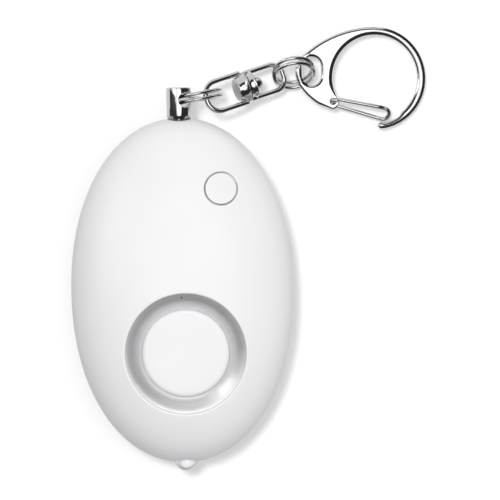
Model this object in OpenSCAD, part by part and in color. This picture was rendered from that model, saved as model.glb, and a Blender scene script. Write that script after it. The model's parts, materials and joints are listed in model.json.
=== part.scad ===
// Personal safety alarm on a key chain.
// The case lies on its back: +Z points out of the front face, +Y towards the pull pin.
// The origin is the middle of the flat that the case rests on. All sizes are in millimetres.

/* [Case] */
// Length of the case, along the pull pin
case_l = 60; // [56:0.5:70]
// Width of the case
case_w = 38.8; // [37:0.2:46]
// Thickness of the case, from the rest flat to the front
case_h = 17; // [16.5:0.25:20]
// Height of the plane where the two shells meet
parting_z = 8; // [7.75:0.25:9]
// Wall thickness of both shells
wall = 1.6; // [1.2:0.1:1.8]
// Roundness of the outline seen from the front, 2 is an ellipse
plan_power = 2.1; // [2:0.05:2.4]
// Roundness of the front's profile
front_power = 2.3; // [2.2:0.05:2.6]
// Roundness of the back's profile
rear_power = 2.6; // [2.4:0.05:3]
// Depth that the rest flat takes off the rounded back
rest_cut = 0.6; // [0.4:0.1:1]

/* [Siren] */
// Distance from the lower end of the case to the siren's centre
siren_from_end = 18.9; // [17.5:0.1:20]
// Sideways offset of the siren's centre
siren_x = 0.4; // [0:0.1:0.8]
// Lean of the siren's face towards the lower end
siren_lean = 6; // [4:0.5:8]
// Radius of the silver ring
siren_r = 10.5; // [9.8:0.1:10.8]
// Radius of the white disc
disc_r = 7.4; // [6.8:0.1:7.6]
// Depth of the ring's groove
groove_d = 1.1; // [0.8:0.1:1.2]
// Radius of the sounder's brass plate
piezo_r = 10; // [9.2:0.1:10]
// Thickness of the brass plate
piezo_t = 0.3; // [0.2:0.05:0.4]
// Depth of the resonance chamber behind the plate
chamber_d = 3.5; // [3:0.1:4]

/* [Button and light] */
// Distance from the upper end of the case to the button's centre
button_from_end = 12.5; // [12:0.1:13]
// Sideways place of the button
button_x = 7.1; // [6.8:0.1:7.2]
// Radius of the button
button_r = 2.7; // [2.4:0.05:2.8]
// Gap about the button
button_gap = 0.25; // [0.15:0.05:0.35]
// Travel of the button
button_travel = 0.5; // [0.3:0.05:0.6]
// Radius of the light's lens
lens_r = 2; // [1.6:0.05:2.1]

/* [Pull pin] */
// Radius of the pin's head
head_r = 2.18; // [2.1:0.02:2.4]
// Length of the head that stands out of the case
head_out = 5.3; // [5:0.1:6]
// Length of the head inside the case wall
head_in = 1.6; // [1.2:0.1:1.8]
// Radius of the shaft
shaft_r = 1; // [0.8:0.05:1.1]
// Length of the shaft below the head
shaft_l = 10.9; // [10.5:0.1:11.5]
// Running clearance of the shaft in its socket
shaft_fit = 0.06; // [0.03:0.01:0.1]
// Radius of the cross hole in the head
cross_r = 1.4; // [1.35:0.01:1.45]
// Turn of the cross hole about the pin, from straight up
cross_turn = 37; // [30:1:45]

/* [Chain] */
// Mean radius of the split ring on the pin
pin_ring_r = 4.3; // [4.1:0.05:4.4]
// Wire diameter of the split ring on the pin
pin_ring_wire = 0.6; // [0.5:0.05:0.6]
// Mean radius of the split ring on the clip
clip_ring_r = 3.45; // [3.35:0.05:3.5]
// Wire diameter of the split ring on the clip
clip_ring_wire = 0.7; // [0.6:0.05:0.7]
// Gap between the two turns of a split ring
turn_gap = 0.43; // [0.41:0.01:0.5]
// Half width of the swivel's loop on the pin's side, to the wire's middle
eye_half_w = 2.65; // [2.5:0.05:2.8]
// Half width of the swivel's loop on the clip's side, to the wire's middle
bow_half_w = 2.3; // [2.2:0.05:2.4]
// Wire diameter of the swivel's loops
loop_wire = 0.78; // [0.7:0.02:0.8]
// Radius of the swivel's bosses at the seam between them
boss_r = 2.7; // [2.55:0.05:2.8]

/* [Clip] */
// Inner radius of the round hook
hook_r = 7.6; // [7.4:0.02:8]
// Width of the hook's bar
hook_bar = 1.35; // [1.2:0.05:1.5]
// Thickness of the hook and its plate
hook_t = 1.4; // [1.2:0.1:1.5]
// Wire diameter of the gate
gate_wire = 0.74; // [0.64:0.02:0.76]
// Running clearance of the gate's ends in the plate
gate_fit = 0.05; // [0.03:0.01:0.1]

/* [Battery] */
// Radius of one button cell
cell_r = 5.8; // [5.6:0.05:5.8]
// Thickness of one button cell
cell_t = 5.4; // [5.2:0.05:5.4]

/* [Hidden] */
$fn = 48;

// A little extra length so that a cut runs clear through
cut = 0.5;
// Clearance of pieces that are only set in place
set_gap = 0.05;
// Clearance of pieces that pass each other
free_gap = 0.3;

// Shares of the case as it is drawn, so that what is inside follows the case
drawn_l = 60;
drawn_w = 38.8;
along = case_l / drawn_l;
across = case_w / drawn_w;

// Case surfaces
half_w = case_w / 2;
half_l = case_l / 2;
front_depth = case_h - parting_z;
rear_depth = parting_z + rest_cut;
plan_steps = 64;
front_steps = 9;
rear_steps = 8;

function signed_pow(v, p) = sign(v) * pow(abs(v), p);
function plan_ratio(x, y, inset) =
    pow(pow(abs(x) / (half_w - inset), plan_power) + pow(abs(y) / (half_l - inset), plan_power),
        1 / plan_power);
function dome(ratio, depth, power) = depth * pow(max(0, 1 - pow(ratio, power)), 1 / power);
function front_z(x, y, inset) =
    parting_z + dome(plan_ratio(x, y, inset), front_depth - inset, front_power);
function rear_z(x, y, inset) =
    max(inset, parting_z - dome(plan_ratio(x, y, inset), rear_depth - inset, rear_power));

// One ring of points about the case, shrunk to a share of the outline at height z
function plan_ring(share, z, inset, way) = [
    for (i = [0 : plan_steps - 1])
        let (a = way * i * 360 / plan_steps)
        [(half_w - inset) * share * signed_pow(cos(a), 2 / plan_power),
         (half_l - inset) * share * signed_pow(sin(a), 2 / plan_power), z]
];
function front_ring(j, inset) =
    let (t = 90 * j / front_steps)
    plan_ring(pow(cos(t), 2 / front_power),
              parting_z + (front_depth - inset) * pow(sin(t), 2 / front_power), inset, 1);
function rear_ring(j, inset) =
    let (depth = rear_depth - inset)
    let (flat_t = asin(pow((parting_z - inset) / depth, rear_power / 2)))
    let (t = flat_t * j / rear_steps)
    plan_ring(pow(cos(t), 2 / rear_power), parting_z - depth * pow(sin(t), 2 / rear_power), inset, -1);

// A closed skin over a list of rings, with a tip at each end
module skin(rings, first_tip, last_tip) {
    n = len(rings[0]);
    last = len(rings) - 1;
    points = concat([first_tip], [for (ring = rings) each ring], [last_tip]);
    tip = len(points) - 1;
    faces = concat(
        [for (i = [0 : n - 1]) [0, 1 + (i + 1) % n, 1 + i]],
        [for (k = [0 : last - 1], i = [0 : n - 1])
            [1 + k * n + i, 1 + k * n + (i + 1) % n, 1 + (k + 1) * n + (i + 1) % n]],
        [for (k = [0 : last - 1], i = [0 : n - 1])
            [1 + k * n + i, 1 + (k + 1) * n + (i + 1) % n, 1 + (k + 1) * n + i]],
        [for (i = [0 : n - 1]) [1 + last * n + i, 1 + last * n + (i + 1) % n, tip]]
    );
    polyhedron(points, faces, convexity = 6);
}

module front_cup() {
    outer = [for (j = [front_steps - 1 : -1 : 0]) front_ring(j, 0)];
    inner = [for (j = [0 : front_steps - 1]) front_ring(j, wall)];
    skin(concat(outer, inner), [0, 0, case_h], [0, 0, case_h - wall]);
}

module front_solid() {
    skin([for (j = [front_steps - 1 : -1 : 0]) front_ring(j, 0)], [0, 0, case_h], [0, 0, parting_z]);
}

module rear_cup() {
    outer = [for (j = [rear_steps : -1 : 0]) rear_ring(j, 0)];
    inner = [for (j = [0 : rear_steps]) rear_ring(j, wall)];
    skin(concat(outer, inner), [0, 0, 0], [0, 0, wall]);
}

// Round tube along a path, with its rings turned as little as possible from one to the next
function unit(v) = v / norm(v);
function tangent(path, i) =
    unit(path[min(i + 1, len(path) - 1)] - path[max(i - 1, 0)]);
function square_to(v, t) = unit(v - (v * t) * t);
function side_at(path, i, start) =
    i == 0 ? square_to(start, tangent(path, 0))
           : square_to(side_at(path, i - 1, start), tangent(path, i));
wire_sides = 8;
module tube(path, r, start) {
    rings = [
        for (i = [0 : len(path) - 1])
            let (t = tangent(path, i), side = side_at(path, i, start), up = cross(t, side))
            [for (k = [0 : wire_sides - 1])
                path[i] + r * (cos(k * 360 / wire_sides) * side - sin(k * 360 / wire_sides) * up)]
    ];
    skin(rings, path[0], path[len(path) - 1]);
}

// Split ring: a wire of almost two flat turns, with one short rise where it passes its own ends
split_steps = 24;
split_start = 25;
split_rise_from = 340;
split_rise_to = 380;
split_end = 695;
function split_level(a) =
    a < split_rise_from ? 0
    : a > split_rise_to ? 1
    : (1 - cos(180 * (a - split_rise_from) / (split_rise_to - split_rise_from))) / 2;
function split_path(r, wire) =
    let (pitch = wire + turn_gap, steps = round(split_steps * (split_end - split_start) / 360))
    [for (i = [0 : steps])
        let (a = split_start + i * (split_end - split_start) / steps)
        [r * cos(a), r * sin(a), pitch * (split_level(a) - 0.5)]];
// Least gap of a wire to itself, over points that lie more than a quarter turn apart
function self_gap(path, wire) =
    let (apart = split_steps / 4)
    min([for (i = [0 : len(path) - 1], j = [0 : len(path) - 1])
        if (j > i + apart) norm(path[i] - path[j])]) - wire;
module split_ring(r, wire) {
    path = split_path(r, wire);
    echo(split_ring_gap = self_gap(path, wire));
    tube(path, wire / 2, [1, 0, 0]);
}

// Siren: everything is stacked on its leaning axis, from the face inwards
siren_y = siren_from_end * along - half_l;
siren_set = 0.7;
siren_z = front_z(siren_x, siren_y, 0) - siren_set;
ring_rim = -0.7;
ring_bottom = -2.6;
ring_lip_t = 0.6;
ring_lip_w = 0.9;
ring_land = 0.3;
disc_gap = 0.2;
well_wall = 1;
well_lip_t = 0.8;
well_lip_w = 1.1;
well_skin = 0.2;
well_top = well_skin - wall;
gasket_t = 0.6;
gasket_w = 1;
ceramic_r = 7;
ceramic_t = 0.25;
chamber_wall = 1.1;
chamber_floor = 0.8;
gasket_top = ring_bottom - well_lip_t;
plate_top = gasket_top - gasket_t;
plate_bottom = plate_top - piezo_t;
chamber_bottom = plate_bottom - chamber_d;
chamber_grip = 1.2;
well_bottom = plate_bottom - chamber_grip;
sound_ports = 6;
sound_port_r = 0.5;
mark_r = 0.25;
mark_from_rim = 0.6;
mark_turn = 93;
module at_siren() translate([siren_x, siren_y, siren_z]) rotate([siren_lean, 0, 0]) children();
module ring_of(r_out, r_in, z_low, z_high)
    translate([0, 0, z_low])
    difference() {
        cylinder(h = z_high - z_low, r = r_out);
        translate([0, 0, -cut]) cylinder(h = z_high - z_low + 2 * cut, r = r_in);
    }

// Button and its switch
button_y = half_l - button_from_end;
board_z = 5.6;
board_t = 1;
board_top = board_z + board_t;
switch_w = 4.5;
switch_h = 3.5;
plunger_r = 1.2;
plunger_out = 0.8;
plunger_in = 0.4;
switch_top = board_top + switch_h;
flange_z = switch_top + plunger_out;
flange_t = 0.8;
flange_w = 0.8;
plunger_room = plunger_in + button_travel + free_gap;

// Pull pin
pin_z = parting_z;
head_base = half_l - head_in;
head_top = half_l + head_out;
cross_from_top = 2.2;
cross_y = head_top - cross_from_top;
head_edge = 0.25;
socket_in_head = 2.8;
shaft_tip = head_base - shaft_l;
socket_w = 4.8;
socket_h = 3.6;
socket_top_y = half_l - 3;
socket_low_y = half_l - 10;
leaf_t = 0.25;
leaf_l = 4.6;
leaf_h = 2.6;
leaf_low_y = socket_low_y - leaf_l - free_gap;
module along_y(y) translate([0, y, pin_z]) rotate([-90, 0, 0]) children();

// Board outline: a bay that narrows towards the pin
board_low_y = half_l - 16.8 * along;
board_mid_y = half_l - 9.5 * along;
board_high_y = half_l - 4.2;
board_half_w = 9.6 * across;
board_end_half_w = 5.4 * across;
function on_bay(x, from_end) = [x * across, half_l - from_end * along];
chip_at = on_bay(-4.6, 8);
chip_size = [3, 3, 1.2];
coil_at = on_bay(-5.3, 12.4);
coil_r = 2.2;
coil_h = 3.2;
coil_waist = 0.6;
coil_flange_t = 0.6;
transistor_at = on_bay(3.9, 6.4);
transistor_size = [1.3, 2.9, 1.1];
resistor_size = [0.8, 1.6, 0.5];
resistor_at = [on_bay(-8.6, 11.6), on_bay(-8.6, 9.6), on_bay(3.6, 13.8), on_bay(3.6, 11.6)];
board_screw_at = [on_bay(-8, 15.2), on_bay(6.6, 8.1)];
board_screw_r = 0.7;
board_head_r = 1.3;
board_head_t = 0.9;
board_post_r = 1.5;
board_screw_l = 3;

// Case screws: two beside the button end, two beside the siren
case_screw_at = [
    on_bay(13.2, 15.4), on_bay(-13.2, 15.4), [half_w - 6.9, siren_y - 6.4], [6.9 - half_w, siren_y - 6.4]
];
screw_r = 0.8;
screw_head_r = 1.6;
screw_head_t = 1.2;
screw_post_r = 1.9;
screw_in = 2.6;
screw_seat_z = parting_z - 3.3;
screw_pass = 0.2;
// Ends of a screw post in each shell, inside the wall at the post's edge that is farthest out
post_skin = 0.3;
function far_edge(p) = p * (1 + screw_post_r / norm(p));
function post_start(p) = rear_z(far_edge(p)[0], far_edge(p)[1], 0) + post_skin;
function post_end(p) = front_z(far_edge(p)[0], far_edge(p)[1], 0) - post_skin;

// Battery: three cells in a row across the case, between a spring and a contact plate
cell_gap = 0.15;
cell_cap_t = 0.8;
cell_cap_in = 0.8;
cell_room = 1;
battery_r = cell_r * along;
battery_t = cell_t * across;
battery_cap_r = battery_r - cell_cap_in;
cell_y = board_low_y - battery_r - cell_room;
cell_z = wall + 0.2 + battery_r;
row_l = 3 * battery_t;
tray_half = 10 * across;
row_end = tray_half - 0.8;
row_start = row_end - row_l;
contact_t = 0.4;
contact_half_w = 3.6;
tray_wall = 1.2;
tray_half_y = battery_r + 0.4;
tray_low = wall + 1.1;
tray_top = parting_z + 0.2;
tray_post_r = 0.8;
tray_post_at = [for (i = [-1, 1], j = [-1, 1]) [9.4 * i * across, 5 * j * along]];
spring_wire = 0.35;
spring_turns = 3;
spring_small_r = 2;
spring_large_r = 3.4;
spring_steps = 16;
spring_plate_x = contact_t - tray_half;

// Light
lens_seat = -half_l + 2.9;
lens_flange_t = 0.7;
lens_flange_w = 0.4;
lens_out = 0.5;
lead_x = 0.64;
lead_r = 0.25;
lead_l = 3.4;
lead_end = lens_seat + lens_flange_t + lead_l;
wire_r = 0.35;
wire_pad = on_bay(-7.3, 8.1);
wire_straight = 0.8;
wire_side = -tray_half - 0.7;
wire_under = siren_z + chamber_bottom - piezo_r * sin(siren_lean) - 2.6;
wire_over = tray_top + 1.3;
wire_path = [
    [-lead_x, lead_end, parting_z], [-lead_x, lead_end + wire_straight, parting_z],
    [-1.2, siren_y - 9.9, wire_under + 0.9], [-3, siren_y - 6.4, wire_under],
    [-6, siren_y - 0.9, wire_under - 0.4], [-9.5, siren_y + 5.1, wire_under + 0.4],
    [wire_side, siren_y + 8.1, wire_over - 1.9], [wire_side, siren_y + 10.6, wire_over - 0.3],
    [wire_side, cell_y - 2.4, wire_over], [wire_side, cell_y + 2.6, wire_over],
    concat(on_bay(-10.4, 17.5), wire_over - 0.4), concat(on_bay(-9.6, 14.5), wire_over - 0.7),
    concat(on_bay(-8.8, 11.5), board_top + 2.2), concat(on_bay(-7.7, 8.8), board_top + 2),
    concat(wire_pad, board_top + wire_straight), concat(wire_pad, board_top)
];

// Chain: places at rest, on and above the surface that the alarm lies on
pin_ring_lift = 10;
pin_ring_dip = cross_turn;
pin_ring_slack = 0.3;
pin_ring_out = pin_ring_r - pin_ring_slack;
pin_ring_centre = [
    pin_ring_out * cos(pin_ring_dip) * cos(pin_ring_lift),
    cross_y + pin_ring_out * cos(pin_ring_dip) * sin(pin_ring_lift),
    pin_z - pin_ring_out * sin(pin_ring_dip)
];
swivel_offset = [8.65, 1.6, 0];
swivel_seam = pin_ring_centre + swivel_offset;
swivel_turn = 17.5;
swivel_drop = 17;
eye_l = 7.5;
bow_l = 7.1;
eye_corner = 2.3;
bow_corner = 1.9;
eye_boss_l = 1.7;
eye_boss_slim = 0.65;
bow_boss_l = 1.4;
bow_boss_slim = 0.4;
rivet_r = 0.6;
rivet_fit = 0.05;
rivet_dome_r = 0.95;
swivel_gap = 0.1;
bend_steps = 6;
module at_swivel() translate(swivel_seam) rotate([0, swivel_drop, swivel_turn]) children();
// Flat loop that leaves the seam at +half, reaches out to length l along +X and comes back at -half
function loop_path(l, half, corner) = concat(
    [[swivel_gap, half, 0]],
    [for (i = [0 : bend_steps]) let (a = 90 - 90 * i / bend_steps)
        [l - corner + corner * cos(a), half - corner + corner * sin(a), 0]],
    [for (i = [0 : bend_steps]) let (a = -90 * i / bend_steps)
        [l - corner + corner * cos(a), corner - half + corner * sin(a), 0]],
    [[swivel_gap, -half, 0]]
);

// Clip and its ring, carried along by the swivel's far end
bow_end = swivel_seam + [
    bow_l * cos(swivel_drop) * cos(swivel_turn), bow_l * cos(swivel_drop) * sin(swivel_turn),
    -bow_l * sin(swivel_drop)
];
clip_ring_offset = [1.9, 0.3, 0.4];
clip_ring_centre = bow_end + clip_ring_offset;
clip_ring_tilt = 54;
clip_ring_drop = 3;
clip_ring_turn = 8;
clip_ring_phase = 180;
clip_eye_offset = [3.1, 0.25, 0];
clip_eye = clip_ring_centre + clip_eye_offset;
clip_drop = 8.5;
// In the clip's own plane, from the middle of its eye
eye_hole_r = 1.8;
eye_hole_half = 0.72;
hook_c = [11.2, -1.45];
hook_out_r = hook_r + hook_bar;
eye_end_c = [1.1, -0.2];
eye_end_r = 3.9;
brow_c = [11.2, -11.3];
brow_r = 18.85;
brow_turns = [90, 132];
jaw_c = [6.9, 3.25];
jaw_r = 10.78;
jaw_turns = [212, 248];
arc_steps = 12;
function arc(c, r, turns) = [for (i = [0 : arc_steps])
    let (a = turns[0] + (turns[1] - turns[0]) * i / arc_steps) c + r * [cos(a), sin(a)]];
mouth_from = 215;
mouth_to = 275;
mouth_step = 30;
mouth_far = 16;
hull_fn = 40;
pivot_turn = 207.5;
pivot_in = hook_r + 0.9;
gate_pivot = hook_c + pivot_in * [cos(pivot_turn), sin(pivot_turn)];
gate_wire_r = gate_wire / 2;
gate_bore_r = gate_wire_r + gate_fit;
gate_level = hook_t / 2 + gate_wire_r + 0.1;
gate_turn = -14.5;
gate_l = 10.2;
gate_half = 0.6;
gate_spread = 0.1;
gate_bend = 1.2;
gate_end_in = 0.15;
module at_clip() translate(clip_eye) rotate([0, clip_drop, 0]) children();
module at_gate() at_clip() translate(gate_pivot) children();
gate_path = concat(
    [[-gate_wire_r / 2, 0, gate_level], [gate_bend, gate_spread, gate_level]],
    [for (i = [0 : bend_steps]) let (a = 90 - 180 * i / bend_steps)
        [gate_l - gate_half + gate_half * cos(a), gate_half * sin(a), gate_half * sin(a)]],
    [[gate_bend, -gate_spread, -gate_level], [-gate_wire_r / 2, 0, -gate_level]]
);

// Case shells
module front_shell() {
    color("whitesmoke")
    difference() {
        union() {
            front_cup();
            at_siren() translate([0, 0, well_bottom])
                cylinder(h = well_top - well_bottom, r = siren_r + well_wall);
            for (p = case_screw_at)
                translate([p[0], p[1], parting_z])
                    cylinder(h = post_end(p) - parting_z, r = screw_post_r);
        }
        at_siren() {
            translate([0, 0, ring_bottom]) cylinder(h = case_h, r = siren_r);
            translate([0, 0, gasket_top - cut]) cylinder(h = case_h, r = siren_r - well_lip_w);
            translate([0, 0, well_bottom - case_h])
                cylinder(h = gasket_top - well_bottom + case_h, r = piezo_r + set_gap);
        }
        translate([button_x, button_y, flange_z]) cylinder(h = case_h, r = button_r + button_gap);
        along_y(half_l - case_h) cylinder(h = 2 * case_h, r = head_r + free_gap / 2);
        along_y(-half_l - case_h) cylinder(h = 2 * case_h, r = lens_r + set_gap);
        for (p = case_screw_at)
            translate([p[0], p[1], parting_z - cut]) cylinder(h = screw_in + 2 * cut, r = screw_r + set_gap);
    }
}

module rear_shell() {
    color("whitesmoke")
    difference() {
        union() {
            rear_cup();
            for (p = case_screw_at)
                translate([p[0], p[1], post_start(p)])
                    cylinder(h = parting_z - post_start(p), r = screw_post_r);
            for (p = board_screw_at)
                let (low = rear_z(p[0], p[1], wall / 2))
                translate([p[0], p[1], low]) cylinder(h = board_z - low, r = board_post_r);
            for (p = tray_post_at)
                let (low = rear_z(p[0], cell_y + p[1], wall / 2))
                translate([p[0], cell_y + p[1], low]) cylinder(h = tray_low - low, r = tray_post_r);
        }
        for (p = case_screw_at) {
            translate([p[0], p[1], -cut]) cylinder(h = parting_z + 2 * cut, r = screw_r + screw_pass);
            translate([p[0], p[1], -cut]) cylinder(h = screw_seat_z + cut, r = screw_head_r + screw_pass);
        }
        for (p = board_screw_at)
            translate([p[0], p[1], board_z - board_screw_l + board_t])
                cylinder(h = board_screw_l, r = board_screw_r + set_gap);
        along_y(half_l - case_h) cylinder(h = 2 * case_h, r = head_r + free_gap / 2);
        along_y(-half_l - case_h) cylinder(h = 2 * case_h, r = lens_r + set_gap);
    }
}

module case_screws() {
    color("gray")
    for (p = case_screw_at)
        translate([p[0], p[1], screw_seat_z]) {
            translate([0, 0, -screw_head_t]) cylinder(h = screw_head_t, r = screw_head_r);
            cylinder(h = parting_z + screw_in - screw_seat_z, r = screw_r);
        }
}

// Siren
module siren_ring() {
    groove_mid = (siren_r + disc_r) / 2;
    groove_half = (siren_r - disc_r) / 2 - ring_land;
    groove_arc = (groove_half * groove_half + groove_d * groove_d) / (2 * groove_d);
    color("silver")
    at_siren()
    difference() {
        ring_of(siren_r - set_gap, disc_r - ring_lip_w, ring_bottom, ring_rim);
        rotate_extrude() translate([groove_mid, ring_rim + groove_arc - groove_d]) circle(r = groove_arc);
        translate([0, 0, ring_bottom + ring_lip_t]) cylinder(h = case_h, r = disc_r + disc_gap);
        for (i = [0 : sound_ports - 1])
            rotate(i * 360 / sound_ports) translate([disc_r - sound_port_r, 0, ring_bottom - cut])
                cylinder(h = ring_lip_t + 2 * cut, r = sound_port_r);
        rotate(mark_turn) translate([siren_r - mark_from_rim, 0, ring_rim - groove_d / 2])
            cylinder(h = case_h, r = mark_r);
    }
}

module siren_disc() {
    color("white")
    at_siren() translate([0, 0, ring_bottom + ring_lip_t])
        cylinder(h = ring_rim - ring_bottom - ring_lip_t, r = disc_r);
}

module siren_gasket() {
    color("dimgray")
    at_siren() ring_of(piezo_r, piezo_r - gasket_w, plate_top, gasket_top);
}

module piezo_plate() {
    color("goldenrod")
    at_siren() translate([0, 0, plate_bottom]) cylinder(h = piezo_t, r = piezo_r);
}

module piezo_ceramic() {
    color("ivory")
    at_siren() translate([0, 0, plate_bottom - ceramic_t]) cylinder(h = ceramic_t, r = ceramic_r);
}

module siren_chamber() {
    color("white")
    at_siren()
    difference() {
        translate([0, 0, chamber_bottom]) cylinder(h = plate_bottom - chamber_bottom, r = piezo_r);
        translate([0, 0, chamber_bottom + chamber_floor]) cylinder(h = chamber_d, r = piezo_r - chamber_wall);
    }
}

// Button and switch
module light_button() {
    color("white")
    union() {
        intersection() {
            translate([button_x, button_y, flange_z]) cylinder(h = case_h, r = button_r);
            front_solid();
        }
        translate([button_x, button_y, flange_z]) cylinder(h = flange_t, r = button_r + flange_w);
    }
}

module switch_plunger() {
    color("black")
    translate([button_x, button_y, switch_top - plunger_in])
        cylinder(h = plunger_in + plunger_out, r = plunger_r);
}

module switch_body() {
    color("dimgray")
    difference() {
        translate([button_x - switch_w / 2, button_y - switch_w / 2, board_top])
            cube([switch_w, switch_w, switch_h]);
        translate([button_x, button_y, switch_top - plunger_room])
            cylinder(h = plunger_room + cut, r = plunger_r + set_gap);
    }
}

// Circuit board and its parts
module circuit_board() {
    color("seagreen")
    difference() {
        translate([0, 0, board_z]) linear_extrude(board_t) polygon([
            [-board_half_w, board_low_y], [board_half_w, board_low_y], [board_half_w, board_mid_y],
            [board_end_half_w, board_high_y], [-board_end_half_w, board_high_y], [-board_half_w, board_mid_y]
        ]);
        for (p = board_screw_at)
            translate([p[0], p[1], board_z - cut])
                cylinder(h = board_t + 2 * cut, r = board_screw_r + set_gap);
    }
}

module on_board(p, size)
    translate([p[0] - size[0] / 2, p[1] - size[1] / 2, board_top]) cube(size);

module driver_chip() color("black") on_board(chip_at, chip_size);

module step_up_coil() {
    color("saddlebrown")
    translate([coil_at[0], coil_at[1], board_top])
    difference() {
        cylinder(h = coil_h, r = coil_r);
        ring_of(coil_r + cut, coil_r - coil_waist, coil_flange_t, coil_h - coil_flange_t);
    }
}

module transistor() color("black") on_board(transistor_at, transistor_size);

module chip_resistors() color("black") for (p = resistor_at) on_board(p, resistor_size);

module board_screws() {
    color("silver")
    for (p = board_screw_at) {
        translate([p[0], p[1], board_top]) cylinder(h = board_head_t, r = board_head_r);
        translate([p[0], p[1], board_top - board_screw_l + set_gap])
            cylinder(h = board_screw_l, r = board_screw_r);
    }
}

// Battery
module battery_tray() {
    color("whitesmoke")
    difference() {
        translate([-tray_half - tray_wall, cell_y - tray_half_y, tray_low])
            cube([2 * (tray_half + tray_wall), 2 * tray_half_y, tray_top - tray_low]);
        translate([-tray_half, cell_y, cell_z]) rotate([0, 90, 0])
            cylinder(h = 2 * tray_half, r = battery_r + cell_gap);
    }
}

module button_cell(i) {
    color("lightgray")
    translate([row_start + i * battery_t, cell_y, cell_z]) rotate([0, 90, 0]) {
        translate([0, 0, cell_cap_t]) cylinder(h = battery_t - cell_cap_t, r = battery_r);
        cylinder(h = battery_t, r = battery_cap_r);
    }
}

module battery_contact() {
    color("gold")
    translate([0, cell_y, cell_z]) {
        translate([tray_half - contact_t, -contact_half_w, -contact_half_w])
            cube([contact_t, 2 * contact_half_w, 2 * contact_half_w]);
        translate([row_end, 0, 0]) rotate([0, 90, 0])
            cylinder(h = tray_half - contact_t / 2 - row_end, r = contact_half_w / 2);
    }
}

module battery_spring() {
    steps = spring_turns * spring_steps;
    span = row_start - spring_plate_x - spring_wire;
    path = [
        for (i = [0 : steps])
            let (s = i / steps, r = spring_large_r + (spring_small_r - spring_large_r) * s)
            let (a = s * spring_turns * 360)
            [spring_plate_x + spring_wire / 2 + span * s, cell_y + r * cos(a), cell_z + r * sin(a)]
    ];
    color("silver")
    union() {
        tube(path, spring_wire / 2, [0, 1, 0]);
        translate([-tray_half, cell_y - contact_half_w, cell_z - contact_half_w])
            cube([contact_t + spring_wire / 4, 2 * contact_half_w, 2 * contact_half_w]);
    }
}

// Pull pin, its socket and the contact leaves
module pin_socket() {
    color("white")
    difference() {
        translate([-socket_w / 2, socket_low_y, board_top])
            cube([socket_w, socket_top_y - socket_low_y, socket_h]);
        along_y(socket_low_y - cut)
            cylinder(h = socket_top_y - socket_low_y + 2 * cut, r = shaft_r + shaft_fit);
    }
}

module contact_leaf(side) {
    x = side * (shaft_r + free_gap + leaf_t / 2);
    color("gold")
    translate([x - leaf_t / 2, leaf_low_y, board_top]) cube([leaf_t, leaf_l, leaf_h]);
}
module contact_leaf_left() contact_leaf(-1);
module contact_leaf_right() contact_leaf(1);

module pin_head() {
    color("silver")
    difference() {
        along_y(head_base) rotate_extrude() polygon([
            [0, 0], [head_r - head_edge, 0], [head_r, head_edge], [head_r, head_top - head_base - head_edge],
            [head_r - head_edge, head_top - head_base], [0, head_top - head_base]
        ]);
        along_y(head_base - cut) cylinder(h = socket_in_head + cut, r = shaft_r);
        translate([0, cross_y, pin_z]) rotate([0, cross_turn, 0])
            cylinder(h = 4 * head_r, r = cross_r, center = true);
    }
}

module pin_shaft() {
    color("silver")
    along_y(shaft_tip) rotate_extrude() polygon([
        [0, 0], [shaft_r / 2, 0], [shaft_r, shaft_r / 2], [shaft_r, shaft_l + socket_in_head],
        [0, shaft_l + socket_in_head]
    ]);
}

// Light
module led_lens() {
    color("white", 0.6)
    translate([0, lens_seat, parting_z]) rotate([90, 0, 0]) {
        translate([0, 0, -lens_flange_t]) cylinder(h = lens_flange_t, r = lens_r + lens_flange_w);
        cylinder(h = half_l + lens_seat - lens_out, r = lens_r);
        translate([0, 0, half_l + lens_seat - lens_out]) sphere(r = lens_r);
    }
}

module led_leads() {
    color("silver")
    for (side = [-1, 1])
        translate([side * lead_x, lens_seat + lens_flange_t, parting_z]) rotate([-90, 0, 0])
            cylinder(h = lead_l, r = lead_r);
}

module signal_wires() color("firebrick") tube(wire_path, wire_r, [1, 0, 0]);

// Chain
module pin_split_ring() {
    color("silver")
    translate(pin_ring_centre) rotate([90, 0, pin_ring_lift]) rotate(90)
        split_ring(pin_ring_r, pin_ring_wire);
}

module swivel_eye() {
    color("silver")
    at_swivel()
    difference() {
        union() {
            translate([-eye_boss_l, 0, 0]) rotate([0, 90, 0])
                cylinder(h = eye_boss_l - swivel_gap / 2, r1 = boss_r - eye_boss_slim, r2 = boss_r);
            mirror([1, 0, 0]) tube(loop_path(eye_l, eye_half_w, eye_corner), loop_wire / 2, [0, 0, 1]);
        }
        translate([-eye_boss_l - cut, 0, 0]) rotate([0, 90, 0])
            cylinder(h = eye_boss_l + 2 * cut, r = rivet_r);
    }
}

module swivel_rivet() {
    color("silver")
    at_swivel() {
        translate([-eye_boss_l, 0, 0]) rotate([0, 90, 0])
            cylinder(h = eye_boss_l + bow_boss_l + swivel_gap, r = rivet_r);
        translate([bow_boss_l + swivel_gap, 0, 0]) intersection() {
            sphere(r = rivet_dome_r);
            translate([0, -rivet_dome_r, -rivet_dome_r]) cube(2 * rivet_dome_r);
        }
    }
}

module swivel_bow() {
    color("silver")
    at_swivel()
    difference() {
        union() {
            translate([swivel_gap / 2, 0, 0]) rotate([0, 90, 0])
                cylinder(h = bow_boss_l - swivel_gap, r1 = boss_r, r2 = boss_r - bow_boss_slim);
            tube(loop_path(bow_l, bow_half_w, bow_corner), loop_wire / 2, [0, 0, 1]);
        }
        translate([-cut, 0, 0]) rotate([0, 90, 0])
            cylinder(h = bow_boss_l + 2 * cut, r = rivet_r + rivet_fit);
    }
}

module clip_split_ring() {
    color("silver")
    translate(clip_ring_centre) rotate([0, clip_ring_drop, clip_ring_turn]) rotate([clip_ring_tilt, 0, 0])
        rotate(clip_ring_phase)
        split_ring(clip_ring_r, clip_ring_wire);
}

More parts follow.
